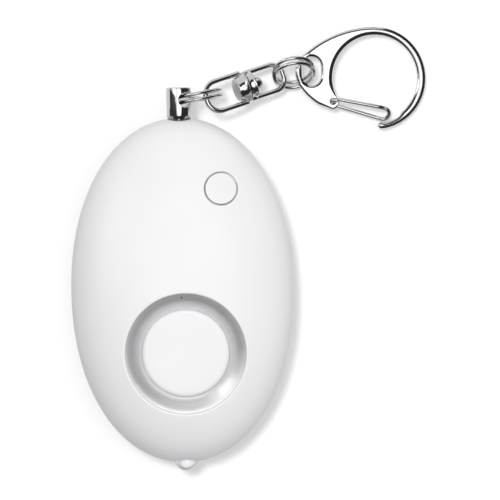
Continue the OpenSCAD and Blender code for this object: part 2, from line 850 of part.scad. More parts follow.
module clip_hook() {
    color("silver")
    at_clip()
    difference() {
        translate([0, 0, -hook_t / 2]) linear_extrude(hook_t) hull() {
            translate(eye_end_c) circle(r = eye_end_r, $fn = hull_fn);
            polygon(arc(brow_c, brow_r, brow_turns));
            polygon(arc(jaw_c, jaw_r, jaw_turns));
            translate(hook_c) circle(r = hook_out_r, $fn = hull_fn);
        }
        translate([hook_c[0], hook_c[1], -hook_t]) cylinder(h = 2 * hook_t, r = hook_r);
        for (side = [-1, 1])
            translate([0, side * eye_hole_half, -hook_t]) cylinder(h = 2 * hook_t, r = eye_hole_r);
        translate([-eye_hole_r, -eye_hole_half, -hook_t])
            cube([2 * eye_hole_r, 2 * eye_hole_half, 2 * hook_t]);
        translate([0, 0, -hook_t]) linear_extrude(2 * hook_t) polygon(concat([hook_c],
            [for (a = [mouth_from : mouth_step : mouth_to]) hook_c + mouth_far * [cos(a), sin(a)]]));
        translate([gate_pivot[0], gate_pivot[1], -hook_t]) cylinder(h = 2 * hook_t, r = gate_bore_r);
    }
}

module clip_gate() {
    color("silver")
    at_gate()
    union() {
        rotate(gate_turn) tube(gate_path, gate_wire_r, [0, 1, 0]);
        for (side = [-1, 1]) mirror([0, 0, side > 0 ? 0 : 1])
            translate([0, 0, gate_end_in]) cylinder(h = gate_level - gate_end_in, r = gate_wire_r);
    }
}

front_shell();
rear_shell();
siren_ring();
siren_disc();
siren_gasket();
piezo_plate();
piezo_ceramic();
siren_chamber();
light_button();
switch_plunger();
switch_body();
circuit_board();
driver_chip();
step_up_coil();
transistor();
chip_resistors();
board_screws();
case_screws();
battery_tray();
button_cell(0);  // button_cell_1
button_cell(1);  // button_cell_2
button_cell(2);  // button_cell_3
battery_contact();
battery_spring();
pin_socket();
contact_leaf_left();
contact_leaf_right();
led_lens();
led_leads();
signal_wires();
pin_head();
pin_shaft();
pin_split_ring();
swivel_eye();
swivel_rivet();
swivel_bow();
clip_split_ring();
clip_hook();
clip_gate();
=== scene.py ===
# %% [markdown]
# A personal safety alarm on a key chain: a white moulded case with a siren, a light and its button,
# and a chrome pull pin that carries a split ring, a swivel, a second ring and a spring clip.
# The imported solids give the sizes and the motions. This lesson dresses them, piece by piece, with
# smooth surfaces and finishes. Lengths on the alarm are in millimetres and are turned into metres
# last. The studio round it is in metres.

# %% Load the frame
import json
import math

import bmesh
import bpy
from mathutils import Matrix, Vector
from mathutils.geometry import delaunay_2d_cdt, tessellate_polygon


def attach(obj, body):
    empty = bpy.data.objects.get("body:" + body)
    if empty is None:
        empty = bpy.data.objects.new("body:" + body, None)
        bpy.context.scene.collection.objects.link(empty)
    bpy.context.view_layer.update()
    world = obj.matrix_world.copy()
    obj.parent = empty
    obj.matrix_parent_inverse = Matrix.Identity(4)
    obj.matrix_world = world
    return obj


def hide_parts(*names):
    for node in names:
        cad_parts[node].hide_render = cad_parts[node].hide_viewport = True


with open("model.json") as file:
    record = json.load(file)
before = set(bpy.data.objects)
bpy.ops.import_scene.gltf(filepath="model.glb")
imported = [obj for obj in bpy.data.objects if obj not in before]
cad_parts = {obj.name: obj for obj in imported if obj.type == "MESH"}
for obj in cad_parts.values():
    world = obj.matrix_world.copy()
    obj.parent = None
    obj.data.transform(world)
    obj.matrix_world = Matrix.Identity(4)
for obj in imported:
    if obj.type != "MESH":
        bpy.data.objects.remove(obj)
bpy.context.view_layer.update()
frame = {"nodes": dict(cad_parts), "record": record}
MM = 0.001

# %% [markdown]
# The picture is taken straight down on the alarm, which lies on its back. A long lens from far away
# keeps the sides of the pin parallel, as in the picture. The camera is turned by about one degree,
# because the case leans a little to the left there.

# %% Camera
PICTURE_PX = 500
PX_PER_MM = 5.733
CAMERA_AIM = (11.913, 6.736, 8.0)
CAMERA_REACH = 1200.0
CAMERA_ROLL = -1.1655

camera_data = bpy.data.cameras.new("camera")
camera_data.lens = camera_data.sensor_width * CAMERA_REACH * PX_PER_MM / PICTURE_PX
camera_data.clip_end = 20.0
camera = bpy.data.objects.new("camera", camera_data)
camera.location = Vector(CAMERA_AIM) * MM + Vector((0, 0, CAMERA_REACH * MM))
camera.rotation_euler = (0, 0, math.radians(CAMERA_ROLL))
bpy.context.scene.collection.objects.link(camera)
bpy.context.scene.camera = camera
bpy.context.scene.view_settings.view_transform = "Standard"
print("lens", round(camera_data.lens), "mm")

# %% [markdown]
# The alarm lies on a white sweep of paper. A plain white floor would throw so much light back that
# the case lost its grey sides. So the paper has two looks, picked by the kind of ray: the camera,
# mirrors and clear plastic see bright paper, and all other rays see greyer paper. Both looks are
# lit by the lamps, so the shadows stay. The sky works the same way.

# %% Paper and sky
PAPER_HALF = 6.0
PAPER_DROP = 0.00002
PAPER_COLOUR = (0.84, 0.84, 0.84, 1)
PAPER_GLOW = 0.14
PAPER_BOUNCE = (0.38, 0.38, 0.38, 1)
SKY_FILL = 0.18


def feed(tree, node, inputs):
    """Sets inputs of a shader node to values, or links them to the sockets given."""
    for key, value in inputs.items():
        if isinstance(value, bpy.types.NodeSocket):
            tree.links.new(value, node.inputs[key])
        else:
            node.inputs[key].default_value = value


def add_node(tree, kind, inputs, **settings):
    """A new shader node of that kind, with its settings and inputs."""
    node = tree.nodes.new("ShaderNode" + kind)
    for name, value in settings.items():
        setattr(node, name, value)
    feed(tree, node, inputs)
    return node


def principled(name, inputs):
    """A new material with those inputs of its Principled shader."""
    made = bpy.data.materials.new(name)
    made.use_nodes = True
    feed(made.node_tree, made.node_tree.nodes["Principled BSDF"], inputs)
    return made


def seen_directly(tree):
    """1 for rays from the camera, a mirror or clear plastic, and 0 for the rest."""
    rays = tree.nodes.new("ShaderNodeLightPath").outputs
    pair = {0: rays["Is Camera Ray"], 1: rays["Is Glossy Ray"]}
    first = add_node(tree, "Math", pair, operation="MAXIMUM")
    pair = {0: first.outputs[0], 1: rays["Is Transmission Ray"]}
    return add_node(tree, "Math", pair, operation="MAXIMUM").outputs[0]


def stage_object(name, points, faces, material):
    """A mesh that belongs to the studio and not to the alarm."""
    mesh = bpy.data.meshes.new(name)
    mesh.from_pydata(points, [], faces)
    mesh.materials.append(material)
    thing = bpy.data.objects.new(name, mesh)
    bpy.context.scene.collection.objects.link(thing)
    return thing


paper = principled("paper_white", {})
tree = paper.node_tree
tree.nodes.clear()
bright = add_node(tree, "BsdfDiffuse", {"Color": PAPER_COLOUR}).outputs[0]
glow = add_node(tree, "Emission", {"Strength": PAPER_GLOW}).outputs[0]
lit = add_node(tree, "AddShader", {0: bright, 1: glow}).outputs[0]
grey = add_node(tree, "BsdfDiffuse", {"Color": PAPER_BOUNCE}).outputs[0]
look = add_node(tree, "MixShader", {0: seen_directly(tree), 1: grey, 2: lit}).outputs[0]
add_node(tree, "OutputMaterial", {"Surface": look})
corners = [(-1, -1), (1, -1), (1, 1), (-1, 1)]
sheet = [(PAPER_HALF * x, PAPER_HALF * y, -PAPER_DROP) for x, y in corners]
stage_object("paper", sheet, [(0, 1, 2, 3)], paper)

world = bpy.data.worlds.new("studio")
bpy.context.scene.world = world
world.use_nodes = True
tree = world.node_tree
level = add_node(tree, "MapRange", {"Value": seen_directly(tree), "To Min": SKY_FILL, "To Max": 1.0})
sky = {"Color": (1, 1, 1, 1), "Strength": level.outputs["Result"]}
feed(tree, tree.nodes["Background"], sky)
print("paper", 2 * PAPER_HALF, "m wide")

# %% [markdown]
# Lamps of the sun kind light the whole paper evenly, and their angle sets how soft a shadow is. Four
# of them work together: a wide one overhead that gives the white strip down the pin, one from the
# upper left that throws the shadows, and two, from the top and the right, that only lift those sides
# of the case. Area lamps would do too, but their light falls off over the paper.

# %% Lamps
LAMPS = [
    ("overhead_light", 0, 3, 0.58, 42, True, True),
    ("shadow_light", 135, 12, 1.42, 11, True, False),
    ("top_light", 92, 40, 0.8, 36, False, False),
    ("right_light", -10, 66, 0.7, 60, False, False),
]


def lamp(name, from_azimuth, off_zenith, strength, spread, shadow, shine):
    """A sun lamp: where its light comes from (angle from +X, angle off the zenith) and its looks."""
    data = bpy.data.lights.new(name, "SUN")
    data.energy = strength
    data.angle = math.radians(spread)
    data.use_shadow = shadow
    thing = bpy.data.objects.new(name, data)
    a, e = math.radians(from_azimuth), math.radians(off_zenith)
    come_from = Vector((math.cos(a) * math.sin(e), math.sin(a) * math.sin(e), math.cos(e)))
    thing.rotation_mode = "QUATERNION"
    thing.rotation_quaternion = come_from.to_track_quat("Z", "Y")
    thing.visible_camera = False
    thing.visible_glossy = shine
    bpy.context.scene.collection.objects.link(thing)


for entry in LAMPS:
    lamp(*entry)
print(len(LAMPS), "lamps")

# %% [markdown]
# Chrome shows nothing but its surroundings. Dark flags and one white card stand round the table, as
# in a studio, and only reflections see them. They draw the black bands and bright spots in the metal.
# Each is a band of quads between two compass angles, so a few numbers are enough to move it.

# %% Flags and card
FLAG_REACH = 0.5
FLAG_STEPS = 48
FLAG_LOW, FLAG_HIGH = 3.0, 66.0
FENCE_REACH, FENCE_HIGH = 0.085, 0.03
FLAG_FROM, FLAG_TO, FLAG_BROW = 165.0, 415.0, 44.0
FLAG_COLOUR, FLAG_ROUGH = (0.08, 0.08, 0.08, 1), 0.9
flag = principled("flag_black", {"Base Color": FLAG_COLOUR, "Roughness": FLAG_ROUGH})


def flag_band(name, first, last, low, high, material):
    """A band of card between two compass angles, from one (reach, height) to another."""
    card_points, card_faces = [], []
    for i in range(FLAG_STEPS + 1):
        turn = math.radians(first + (last - first) * i / FLAG_STEPS)
        for reach, height in (low, high):
            card_points.append((reach * math.cos(turn), reach * math.sin(turn), height))
        if i < FLAG_STEPS:
            card_faces.append((2 * i, 2 * i + 2, 2 * i + 3, 2 * i + 1))
    card = stage_object(name, card_points, card_faces, material)
    card.visible_camera = card.visible_diffuse = False
    card.visible_shadow = card.visible_transmission = False


def dome_spot(lift, reach=FLAG_REACH):
    """Reach and height of a spot on a dome over the table, that many degrees up."""
    up = math.radians(lift)
    return reach * math.cos(up), reach * math.sin(up)


flag_band("black_flags", FLAG_FROM, FLAG_TO, dome_spot(FLAG_LOW), dome_spot(FLAG_HIGH), flag)
flag_band("black_brow", FLAG_TO - 360, FLAG_FROM, dome_spot(FLAG_BROW), dome_spot(FLAG_HIGH), flag)
flag_band("black_fence", FLAG_FROM, FLAG_TO, (FENCE_REACH, 0), (FENCE_REACH, FENCE_HIGH), flag)
CARD_FROM, CARD_TO, CARD_LOW, CARD_HIGH, CARD_REACH, CARD_GLOW = 138.0, 178.0, 36.0, 64.0, 0.48, 2.2
glow = {"Emission Color": (1, 1, 1, 1), "Emission Strength": CARD_GLOW}
card_white = principled("card_white", glow)
card_ends = dome_spot(CARD_LOW, CARD_REACH), dome_spot(CARD_HIGH, CARD_REACH)
flag_band("white_card", CARD_FROM, CARD_TO, *card_ends, card_white)
print("flags from", FLAG_LOW, "to", FLAG_HIGH, "degrees up, and one white card")

# %% [markdown]
# Every finish is a Principled shader with two layers of noise: a slow one that shifts the colour and
# the roughness, and a fine one for the grain that catches the light. The helper takes the size of
# each in millimetres, so that the grain has its real scale.

# %% A helper for finishes
NOISE_LOW, NOISE_HIGH, GRAIN_DEPTH = 0.3, 0.7, 0.1


def finish(name, colour, shade, metal, rough, swing, mottle, grain, bump, stretch=(1, 1, 1)):
    """A material whose colour moves between two tones and whose roughness and grain vary."""
    made = principled(name, {"Metallic": metal})
    tree = made.node_tree
    place = tree.nodes.new("ShaderNodeTexCoord").outputs["Object"]
    lay = add_node(tree, "Mapping", {"Vector": place, "Scale": stretch}).outputs["Vector"]

    def noise(size, detail):
        inputs = {"Vector": lay, "Scale": 1 / (size * MM), "Detail": detail}
        return add_node(tree, "TexNoise", inputs).outputs["Fac"]

    slow, fine = noise(mottle, 2), noise(grain, 3)
    tones = {"Factor": slow, "A": (*colour, 1), "B": (*shade, 1)}
    tone = add_node(tree, "Mix", tones, data_type="RGBA")
    spans = {"Value": slow, "From Min": NOISE_LOW, "From Max": NOISE_HIGH}
    spans.update({"To Min": rough - swing, "To Max": rough + swing})
    gloss = add_node(tree, "MapRange", spans)
    depth = grain * MM * GRAIN_DEPTH
    relief = add_node(tree, "Bump", {"Height": fine, "Strength": bump, "Distance": depth})
    looks = {"Base Color": tone.outputs["Result"], "Roughness": gloss.outputs["Result"]}
    looks["Normal"] = relief.outputs["Normal"]
    feed(tree, tree.nodes["Principled BSDF"], looks)
    return made


# %% [markdown]
# The case is satin white ABS: nearly neutral, a little glossy, with the very fine texture that a
# polished mould leaves. The chrome is plated zinc and steel, almost a mirror. The siren's ring is
# silver paint, rougher than chrome. What sits inside the case gets the finish of its real material.

# %% The finishes
FINISHES = [
    ("case_white", "white_abs", (0.83, 0.83, 0.835), (0.81, 0.81, 0.815), 0, 0.34, 0.03, 6, 0.12, 0.05),
    ("siren_silver", "silver_paint", (0.78, 0.78, 0.79), (0.73, 0.73, 0.74), 0.66, 0.37, 0.04, 1.5,
     0.05, 0.08),
    ("lens_clear", "clear_acrylic", (0.96, 0.97, 0.98), (0.93, 0.95, 0.97), 0, 0.08, 0.03, 2, 0.2, 0.03),
    ("chrome", "chrome_plate", (0.57, 0.57, 0.575), (0.52, 0.52, 0.53), 1, 0.11, 0.035, 1.2, 0.08, 0.03),
    ("steel", "zinc_plate", (0.46, 0.46, 0.465), (0.39, 0.395, 0.41), 1, 0.34, 0.06, 0.8, 0.06, 0.1),
    ("cell_steel", "cell_can", (0.72, 0.72, 0.73), (0.66, 0.66, 0.67), 1, 0.28, 0.05, 1.5, 0.05, 0.08),
    ("brass", "rolled_brass", (0.78, 0.58, 0.26), (0.7, 0.5, 0.2), 1, 0.3, 0.06, 1.2, 0.06, 0.1,
     (1, 12, 12)),
    ("ceramic", "fired_ceramic", (0.86, 0.82, 0.72), (0.8, 0.76, 0.66), 0, 0.6, 0.08, 1, 0.05, 0.3),
    ("foam", "black_foam", (0.035, 0.035, 0.037), (0.02, 0.02, 0.02), 0, 0.9, 0.05, 0.6, 0.12, 0.8),
    ("board_green", "solder_mask", (0.035, 0.19, 0.08), (0.05, 0.24, 0.1), 0, 0.38, 0.06, 1.1, 0.1, 0.2),
    ("black_plastic", "black_resin", (0.022, 0.022, 0.024), (0.035, 0.035, 0.037), 0, 0.55, 0.08, 0.7,
     0.06, 0.3),
    ("copper", "enamelled_copper", (0.5, 0.22, 0.09), (0.4, 0.16, 0.06), 0.8, 0.32, 0.06, 0.6, 0.12, 0.3,
     (1, 1, 9)),
    ("wire_red", "red_sleeve", (0.5, 0.03, 0.025), (0.42, 0.025, 0.02), 0, 0.45, 0.05, 1.2, 0.1, 0.15),
]
FINISH = {slot: finish(*look) for slot, *look in FINISHES}
tree = FINISH["lens_clear"].node_tree
feed(tree, tree.nodes["Principled BSDF"], {"Transmission Weight": 1.0, "IOR": 1.49})
for entry in frame["record"]["subparts"]:
    node = frame["nodes"][entry["node"]]
    node.data.materials.clear()
    node.data.materials.append(FINISH[entry["material_slot"]])
print(len(FINISH), "finishes on", len(frame["nodes"]), "solids")

# %% [markdown]
# Every piece becomes an object the same way. Its faces are turned outwards and shaded smooth, and
# edges that bend sharply stay crisp. Handing it over ties it to its moving body, gives it the finish
# of its slot and takes the plain solid out of sight.

# %% Helpers that make a piece and hand it over
CREASE = math.radians(38)


def shape(name, points, faces):
    """A mesh object from points in millimetres, with its faces pointing out and its creases sharp."""
    mesh = bpy.data.meshes.new(name)
    mesh.from_pydata([Vector(p) * MM for p in points], [], faces)
    thing = bpy.data.objects.new(name, mesh)
    bpy.context.scene.collection.objects.link(thing)
    dress(thing)
    return thing


def dress(thing):
    """Turns the faces outwards, shades them smooth and keeps the sharp creases."""
    work = bmesh.new()
    work.from_mesh(thing.data)
    bmesh.ops.recalc_face_normals(work, faces=work.faces)
    for face in work.faces:
        face.smooth = True
    for edge in work.edges:
        edge.smooth = len(edge.link_faces) == 2 and edge.calc_face_angle(0) < CREASE
    work.to_mesh(thing.data)
    work.free()
    thing.data.update()


def hand_over(thing, body, slot, *nodes):
    """The piece moves with its body, takes its finish from the slot and stands for those solids."""
    thing.data.materials.clear()
    thing.data.materials.append(FINISH[slot])
    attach(thing, body)
    if nodes:
        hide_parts(*nodes)
    print(thing.name, len(thing.data.polygons), "faces")


# %% [markdown]
# Most shapes are turned or drawn. A lathe spins a profile about an axis, which gives clean rings. A
# wire carries a ring of points along a path without twist. Modifiers could do both, but plain points
# and faces are easier to join to each other.

# %% Helpers for turned and drawn shapes
WIRE_END = 0.25


def ring_faces(low, high):
    """Quads between two rows of point numbers, or triangles where a row is one point."""
    faces = []
    count = max(len(low), len(high))
    for i in range(count):
        j = (i + 1) % count
        corners = (low[i % len(low)], low[j % len(low)], high[j % len(high)], high[i % len(high)])
        faces.append(tuple(dict.fromkeys(corners)))
    return faces


def stack_faces(rows):
    """Faces between each row of a stack and the next."""
    return [face for low, high in zip(rows, rows[1:]) for face in ring_faces(low, high)]


def circle_row(place, radius, steps, height=0.0):
    """Points of a circle about the local Z axis."""
    turns = [2 * math.pi * i / steps for i in range(steps)]
    return [place @ Vector((radius * math.cos(a), radius * math.sin(a), height)) for a in turns]


def turned(profile, steps, place, loop=False):
    """Points and faces of a profile of (radius, height) pairs turned about the local Z axis."""
    points, rows = [], []
    for radius, height in profile:
        row = circle_row(place, radius, steps if radius > 0 else 1, height)
        rows.append(list(range(len(points), len(points) + len(row))))
        points += row
    return points, stack_faces(rows + rows[:1] if loop else rows)


def drawn_wire(path, radius, sides):
    """Points and faces of a round wire along a path, with softly cut ends."""
    path = [Vector(p) for p in path]
    soft = radius * WIRE_END
    first = (path[0] - path[1]).normalized()
    last = (path[-1] - path[-2]).normalized()
    rows = [(path[0], radius - soft), (path[0] - first * soft, radius)]
    rows += [(p, radius) for p in path[1:-1]]
    rows += [(path[-1] - last * soft, radius), (path[-1], radius - soft)]
    spots = [spot for spot, _ in rows]
    side = (spots[1] - spots[0]).orthogonal()
    points, numbers = [], []
    for i, (spot, size) in enumerate(rows):
        along = (spots[min(i + 1, len(spots) - 1)] - spots[max(i - 1, 0)]).normalized()
        side = (side - along * side.dot(along)).normalized()
        up = along.cross(side)
        numbers.append(list(range(len(points), len(points) + sides)))
        for k in range(sides):
            a = 2 * math.pi * k / sides
            points.append(spot + size * (math.cos(a) * side + math.sin(a) * up))
    return points, stack_faces(numbers) + [tuple(reversed(numbers[0])), tuple(numbers[-1])]


def rod(radius, low, high):
    """Profile of a plain round rod."""
    return [(0, low), (radius, low), (radius, high), (0, high)]


def dome_profile(radius, base, steps):
    """Profile of a round dome, from its rim to its pole."""
    turns = [math.pi / 2 * k / steps for k in range(steps)]
    return [(radius * math.cos(a), base + radius * math.sin(a)) for a in turns] + [(0, base + radius)]


def rounded(size, steps):
    """Distances to the two sides of a rounded edge, on the way from the first side to the second."""
    turns = [math.pi / 2 * k / steps for k in range(steps + 1)]
    return [(size * (1 - math.sin(a)), size * (1 - math.cos(a))) for a in turns]


def on_circle(centre, radius, degrees):
    """A point of a circle in the plane, at an angle in degrees."""
    a = math.radians(degrees)
    return centre + radius * Vector((math.cos(a), math.sin(a)))


def placed(spot, *turns):
    """A place at that spot, turned by degrees about each axis given, the last one first."""
    made = Matrix.Identity(4)
    for degrees, axis in turns:
        made = made @ Matrix.Rotation(math.radians(degrees), 4, axis)
    return Matrix.Translation(spot) @ made


def along_y(y, z):
    """A place whose local Z axis points along +Y from a height z."""
    return placed((0, y, z), (-90, "X"))


# %% [markdown]
# Holes and joins are boolean steps that are applied at once, so the mesh stays plain. Points that a
# cut leaves on top of each other are welded, and faces without width go.

# %% Helper that cuts and joins
WELD = 0.001 * MM


def joined(thing, other, way):
    """Cuts or joins a second mesh object into the first, removes the second and welds the seam."""
    step = thing.modifiers.new("step", "BOOLEAN")
    step.operation = way
    step.solver = "EXACT"
    step.object = other
    bpy.context.view_layer.update()
    result = thing.evaluated_get(bpy.context.evaluated_depsgraph_get())
    mesh = bpy.data.meshes.new_from_object(result)
    work = bmesh.new()
    work.from_mesh(mesh)
    bmesh.ops.remove_doubles(work, verts=work.verts, dist=WELD)
    bmesh.ops.dissolve_degenerate(work, edges=work.edges, dist=WELD)
    work.to_mesh(mesh)
    work.free()
    thing.modifiers.clear()
    old, thing.data = thing.data, mesh
    bpy.data.meshes.remove(old)
    bpy.data.objects.remove(other)
    mesh.name = thing.name
    dress(thing)
    return thing


# %% [markdown]
# The case is a rounded egg. Its outline is a soft ellipse, and its front and back are domes over it.
# The curves follow the same formula as the solids, so the skin lies where they are, only finer.

# %% Shape of the case
HALF_W, HALF_L = 19.4, 30.0
SEAM_Z, CASE_H, WALL = 8.0, 17.0, 1.6
PLAN_POWER, FRONT_POWER, REAR_POWER = 2.1, 2.3, 2.6
REST_CUT = 0.6
PLAN_STEPS = 192


def plan_ratio(x, y, inset):
    """0 at the middle of the case and 1 on its outline."""
    wide, long = abs(x) / (HALF_W - inset), abs(y) / (HALF_L - inset)
    return (wide**PLAN_POWER + long**PLAN_POWER) ** (1 / PLAN_POWER)


def front_z(x, y, inset=0.0):
    """Height of the front dome, or of its inner face when inset is the wall."""
    share = max(0.0, 1 - plan_ratio(x, y, inset) ** FRONT_POWER)
    return SEAM_Z + (CASE_H - SEAM_Z - inset) * share ** (1 / FRONT_POWER)


def signed_power(value, power):
    """A power that keeps the sign."""
    return math.copysign(abs(value) ** power, value)


def plan_row(share, z, inset=0.0):
    """Points of the outline shrunk to a share of its size, at one height."""
    row = []
    for i in range(PLAN_STEPS):
        a = 2 * math.pi * i / PLAN_STEPS
        x = (HALF_W - inset) * share * signed_power(math.cos(a), 2 / PLAN_POWER)
        y = (HALF_L - inset) * share * signed_power(math.sin(a), 2 / PLAN_POWER)
        row.append(Vector((x, y, z)))
    return row


SIREN_X, SIREN_Y, SIREN_LEAN = 0.4, -11.1, 6.0
SIREN_SET = 0.7
SIREN_Z = front_z(SIREN_X, SIREN_Y) - SIREN_SET
SIREN_PLACE = placed((SIREN_X, SIREN_Y, SIREN_Z), (SIREN_LEAN, "X"))
BUTTON_X, BUTTON_Y, BUTTON_R, BUTTON_HOLE_R = 7.1, 17.5, 2.7, 2.95
BUTTON_PLACE = placed((BUTTON_X, BUTTON_Y, SEAM_Z))
DOME_TRIES = 6
print("siren at height", round(SIREN_Z, 2), "button face at", round(front_z(BUTTON_X, BUTTON_Y), 2))


def loop_on_dome(place, radius, steps, sink=0.0):
    """Points where a round tool of that radius meets the dome, sunk a little along its axis."""
    axis = (place.to_3x3() @ Vector((0, 0, 1))).normalized()
    row = []
    for spot in circle_row(place, radius, steps):
        for _ in range(DOME_TRIES):
            spot += axis * (front_z(spot.x, spot.y) - spot.z)
        row.append(spot - axis * sink)
    return row


# %% [markdown]
# The front has round openings, so it is made in three zones that share their edges: rows of quads up
# from the seam, rings of quads round each opening, and a fine net of triangles between them. Each
# opening has a small rounded lip, which is what catches the thin bright line in the picture.

# %% Front shell, rows and rings
LIP, BUTTON_LIP = 0.34, 0.17
LIP_STEPS, LIP_FAR, LIP_NEAR = 5, 3.0, 1.7
INNER_SHARE = 0.86
SIREN_R = 10.5
SIREN_STEPS, BUTTON_STEPS = 144, 64
LEDGE_R, LEDGE_AT, LEDGE_T = 9.4, -2.62, 0.7
SEAM_GAP = 0.03
SEAM_ROWS = [(0.22, SEAM_GAP), (0.07, 0.1), (0.01, 0.22)]
FRONT_TURNS = [2.0, 4.0, 6.5, 9.5, 13.0, 17.0, 21.5, 26.5]


def front_row(turn):
    """A row of the front dome, by its angle up from the seam."""
    share = math.cos(turn) ** (2 / FRONT_POWER)
    z = SEAM_Z + (CASE_H - SEAM_Z) * math.sin(turn) ** (2 / FRONT_POWER)
    return plan_row(share, z)


def lip_rows(place, radius, steps, lip):
    """Rings from the dome over a rounded lip to the wall of an opening."""
    rows = [loop_on_dome(place, radius + far * lip, steps) for far in (LIP_FAR, LIP_NEAR)]
    for out, sink in rounded(lip, LIP_STEPS):
        rows.append(loop_on_dome(place, radius + out, steps, sink))
    return rows


points, faces = [], []


def add_row(row):
    """Adds a row of points to the shell and gives their numbers."""
    points.extend(row)
    return list(range(len(points) - len(row), len(points)))


outer = [add_row(plan_row(1, SEAM_Z + up, inset)) for inset, up in SEAM_ROWS]
outer += [add_row(front_row(math.radians(t))) for t in FRONT_TURNS]
edge_turn = math.acos(INNER_SHARE ** (FRONT_POWER / 2))
outer.append(add_row(front_row(edge_turn)))
siren_rows = [add_row(row) for row in lip_rows(SIREN_PLACE, SIREN_R, SIREN_STEPS, LIP)]
for radius, depth in ((SIREN_R, LEDGE_AT), (LEDGE_R, LEDGE_AT), (LEDGE_R, LEDGE_AT - LEDGE_T)):
    siren_rows.append(add_row(circle_row(SIREN_PLACE, radius, SIREN_STEPS, depth)))
button_rows = [add_row(row) for row in lip_rows(BUTTON_PLACE, BUTTON_HOLE_R, BUTTON_STEPS, BUTTON_LIP)]
for rows in (outer, siren_rows, button_rows):
    faces += stack_faces(rows)
print(len(faces), "quads up from the seam and round the openings")

# %% [markdown]
# Between the rows and the rings lies an odd-shaped field. Evenly spread points are joined up into
# triangles there, with the rows and rings as fixed edges. A triangle that would close an opening has
# all its corners on that opening's ring, so it is easy to leave out.

# %% Front shell, net
NET_STEP, NET_RIM, NET_ROOM, NET_MERGE = 1.15, 0.03, 0.45, 1e-6
net_numbers = outer[-1] + siren_rows[0] + button_rows[0]
net_xy = [points[k].to_2d() for k in net_numbers]
loops, start = [], 0
for row in (outer[-1], siren_rows[0], button_rows[0]):
    loops.append([start + i for i in range(len(row))])
    start += len(row)
edges = [(loop[i], loop[(i + 1) % len(loop)]) for loop in loops for i in range(len(loop))]


def near_opening(spot):
    """Whether a spot of the net would crowd the ring of an opening."""
    room = NET_ROOM * NET_STEP
    siren = (SIREN_PLACE.inverted() @ Vector((spot.x, spot.y, front_z(spot.x, spot.y)))).to_2d()
    button = spot - Vector((BUTTON_X, BUTTON_Y))
    if siren.length < SIREN_R + LIP_FAR * LIP + room:
        return True
    return button.length < BUTTON_HOLE_R + LIP_FAR * BUTTON_LIP + room


row_step = NET_STEP * math.sqrt(3) / 2
for j in range(int(2 * HALF_L / row_step) + 1):
    y = -HALF_L + j * row_step
    for i in range(int(2 * HALF_W / NET_STEP) + 1):
        spot = Vector((-HALF_W + (i + 0.5 * (j % 2)) * NET_STEP, y))
        if plan_ratio(spot.x, spot.y, 0) < INNER_SHARE - NET_RIM and not near_opening(spot):
            net_xy.append(spot)
            points.append(Vector((spot.x, spot.y, front_z(spot.x, spot.y))))
            net_numbers.append(len(points) - 1)
net_out = delaunay_2d_cdt(net_xy, edges, [], 0, NET_MERGE)
openings = [set(loop) for loop in loops[1:]]
net_faces = []
for face in net_out[2]:
    old = [net_out[3][k][0] for k in face]
    if not any(loop.issuperset(old) for loop in openings):
        net_faces.append(tuple(net_numbers[k] for k in old))
faces += net_faces
print(len(net_faces), "triangles in the net")

# %% [markdown]
# The inner face repeats the net one wall lower and runs down to the seam in rows. That makes the
# shell a closed solid, as a moulding is, and the holes for pin and light can be cut through it.

# %% Front shell, inside and holes
INNER_ROWS = 6
PIN_HOLE_R, LENS_HOLE_R, HOLE_LONG, HOLE_SIDES = 2.33, 2.05, 8.0, 64
inner_number = {}


def inner_point(k):
    """The point of the inner face that lies under a point of the outer net."""
    if k not in inner_number:
        p = points[k]
        inner_number[k] = len(points)
        points.append(Vector((p.x, p.y, front_z(p.x, p.y, WALL))))
    return inner_number[k]


faces += [tuple(reversed([inner_point(k) for k in face])) for face in net_faces]
inner_edge = [inner_point(k) for k in outer[-1]]
inner_rows = [inner_edge]
for step in range(1, INNER_ROWS + 1):
    row = []
    for k in inner_edge:
        p = points[k]
        ratio = plan_ratio(p.x, p.y, WALL)
        turn = math.acos(ratio ** (FRONT_POWER / 2)) * (1 - step / INNER_ROWS)
        grow = math.cos(turn) ** (2 / FRONT_POWER) / ratio
        z = SEAM_Z + SEAM_GAP + (CASE_H - SEAM_Z - WALL) * math.sin(turn) ** (2 / FRONT_POWER)
        row.append(Vector((p.x * grow, p.y * grow, z)))
    inner_rows.append(add_row(row))
faces += stack_faces(inner_rows + outer[:1])
for rows in (siren_rows, button_rows):
    faces += ring_faces(rows[-1], [inner_point(k) for k in rows[0]])
front_shell = shape("case_front", points, faces)


def cut_end_holes(shell):
    """Cuts room for the pin and the light into a half of the case."""
    for end, radius in ((HALF_L, PIN_HOLE_R), (-HALF_L, LENS_HOLE_R)):
        place = along_y(end - HOLE_LONG / 2, SEAM_Z)
        tool = shape("hole_tool", *turned(rod(radius, 0, HOLE_LONG), HOLE_SIDES, place))
        joined(shell, tool, "DIFFERENCE")


cut_end_holes(front_shell)
hand_over(front_shell, "case", "case_white", "front_shell")

# %% [markdown]
# The back is a dome too, cut flat where the alarm rests. It is a plain stack of rows, inside and out,
# and four sunk holes for the case screws are cut into it, each in a post that reaches up to the seam.

# %% Rear shell
REAR_ROWS, ROW_CROWD, FLAT_RINGS = 14, 1.3, (0.75, 0.5, 0.25)
SCREW_AT = [(13.2, 14.6), (-13.2, 14.6), (12.5, -17.5), (-12.5, -17.5)]
SCREW_SEAT, SCREW_HEAD_ROOM, SCREW_ROOM, BORE_SPARE = 4.7, 1.8, 1.0, 1.0
POST_R, POST_SKIN, POST_GAP, POST_SIDES = 1.9, 0.3, 0.1, 32


def rear_z(x, y):
    """Height of the back at a spot inside the outline."""
    share = max(0.0, 1 - plan_ratio(x, y, 0.0) ** REAR_POWER)
    return max(0.0, SEAM_Z - (SEAM_Z + REST_CUT) * share ** (1 / REAR_POWER))


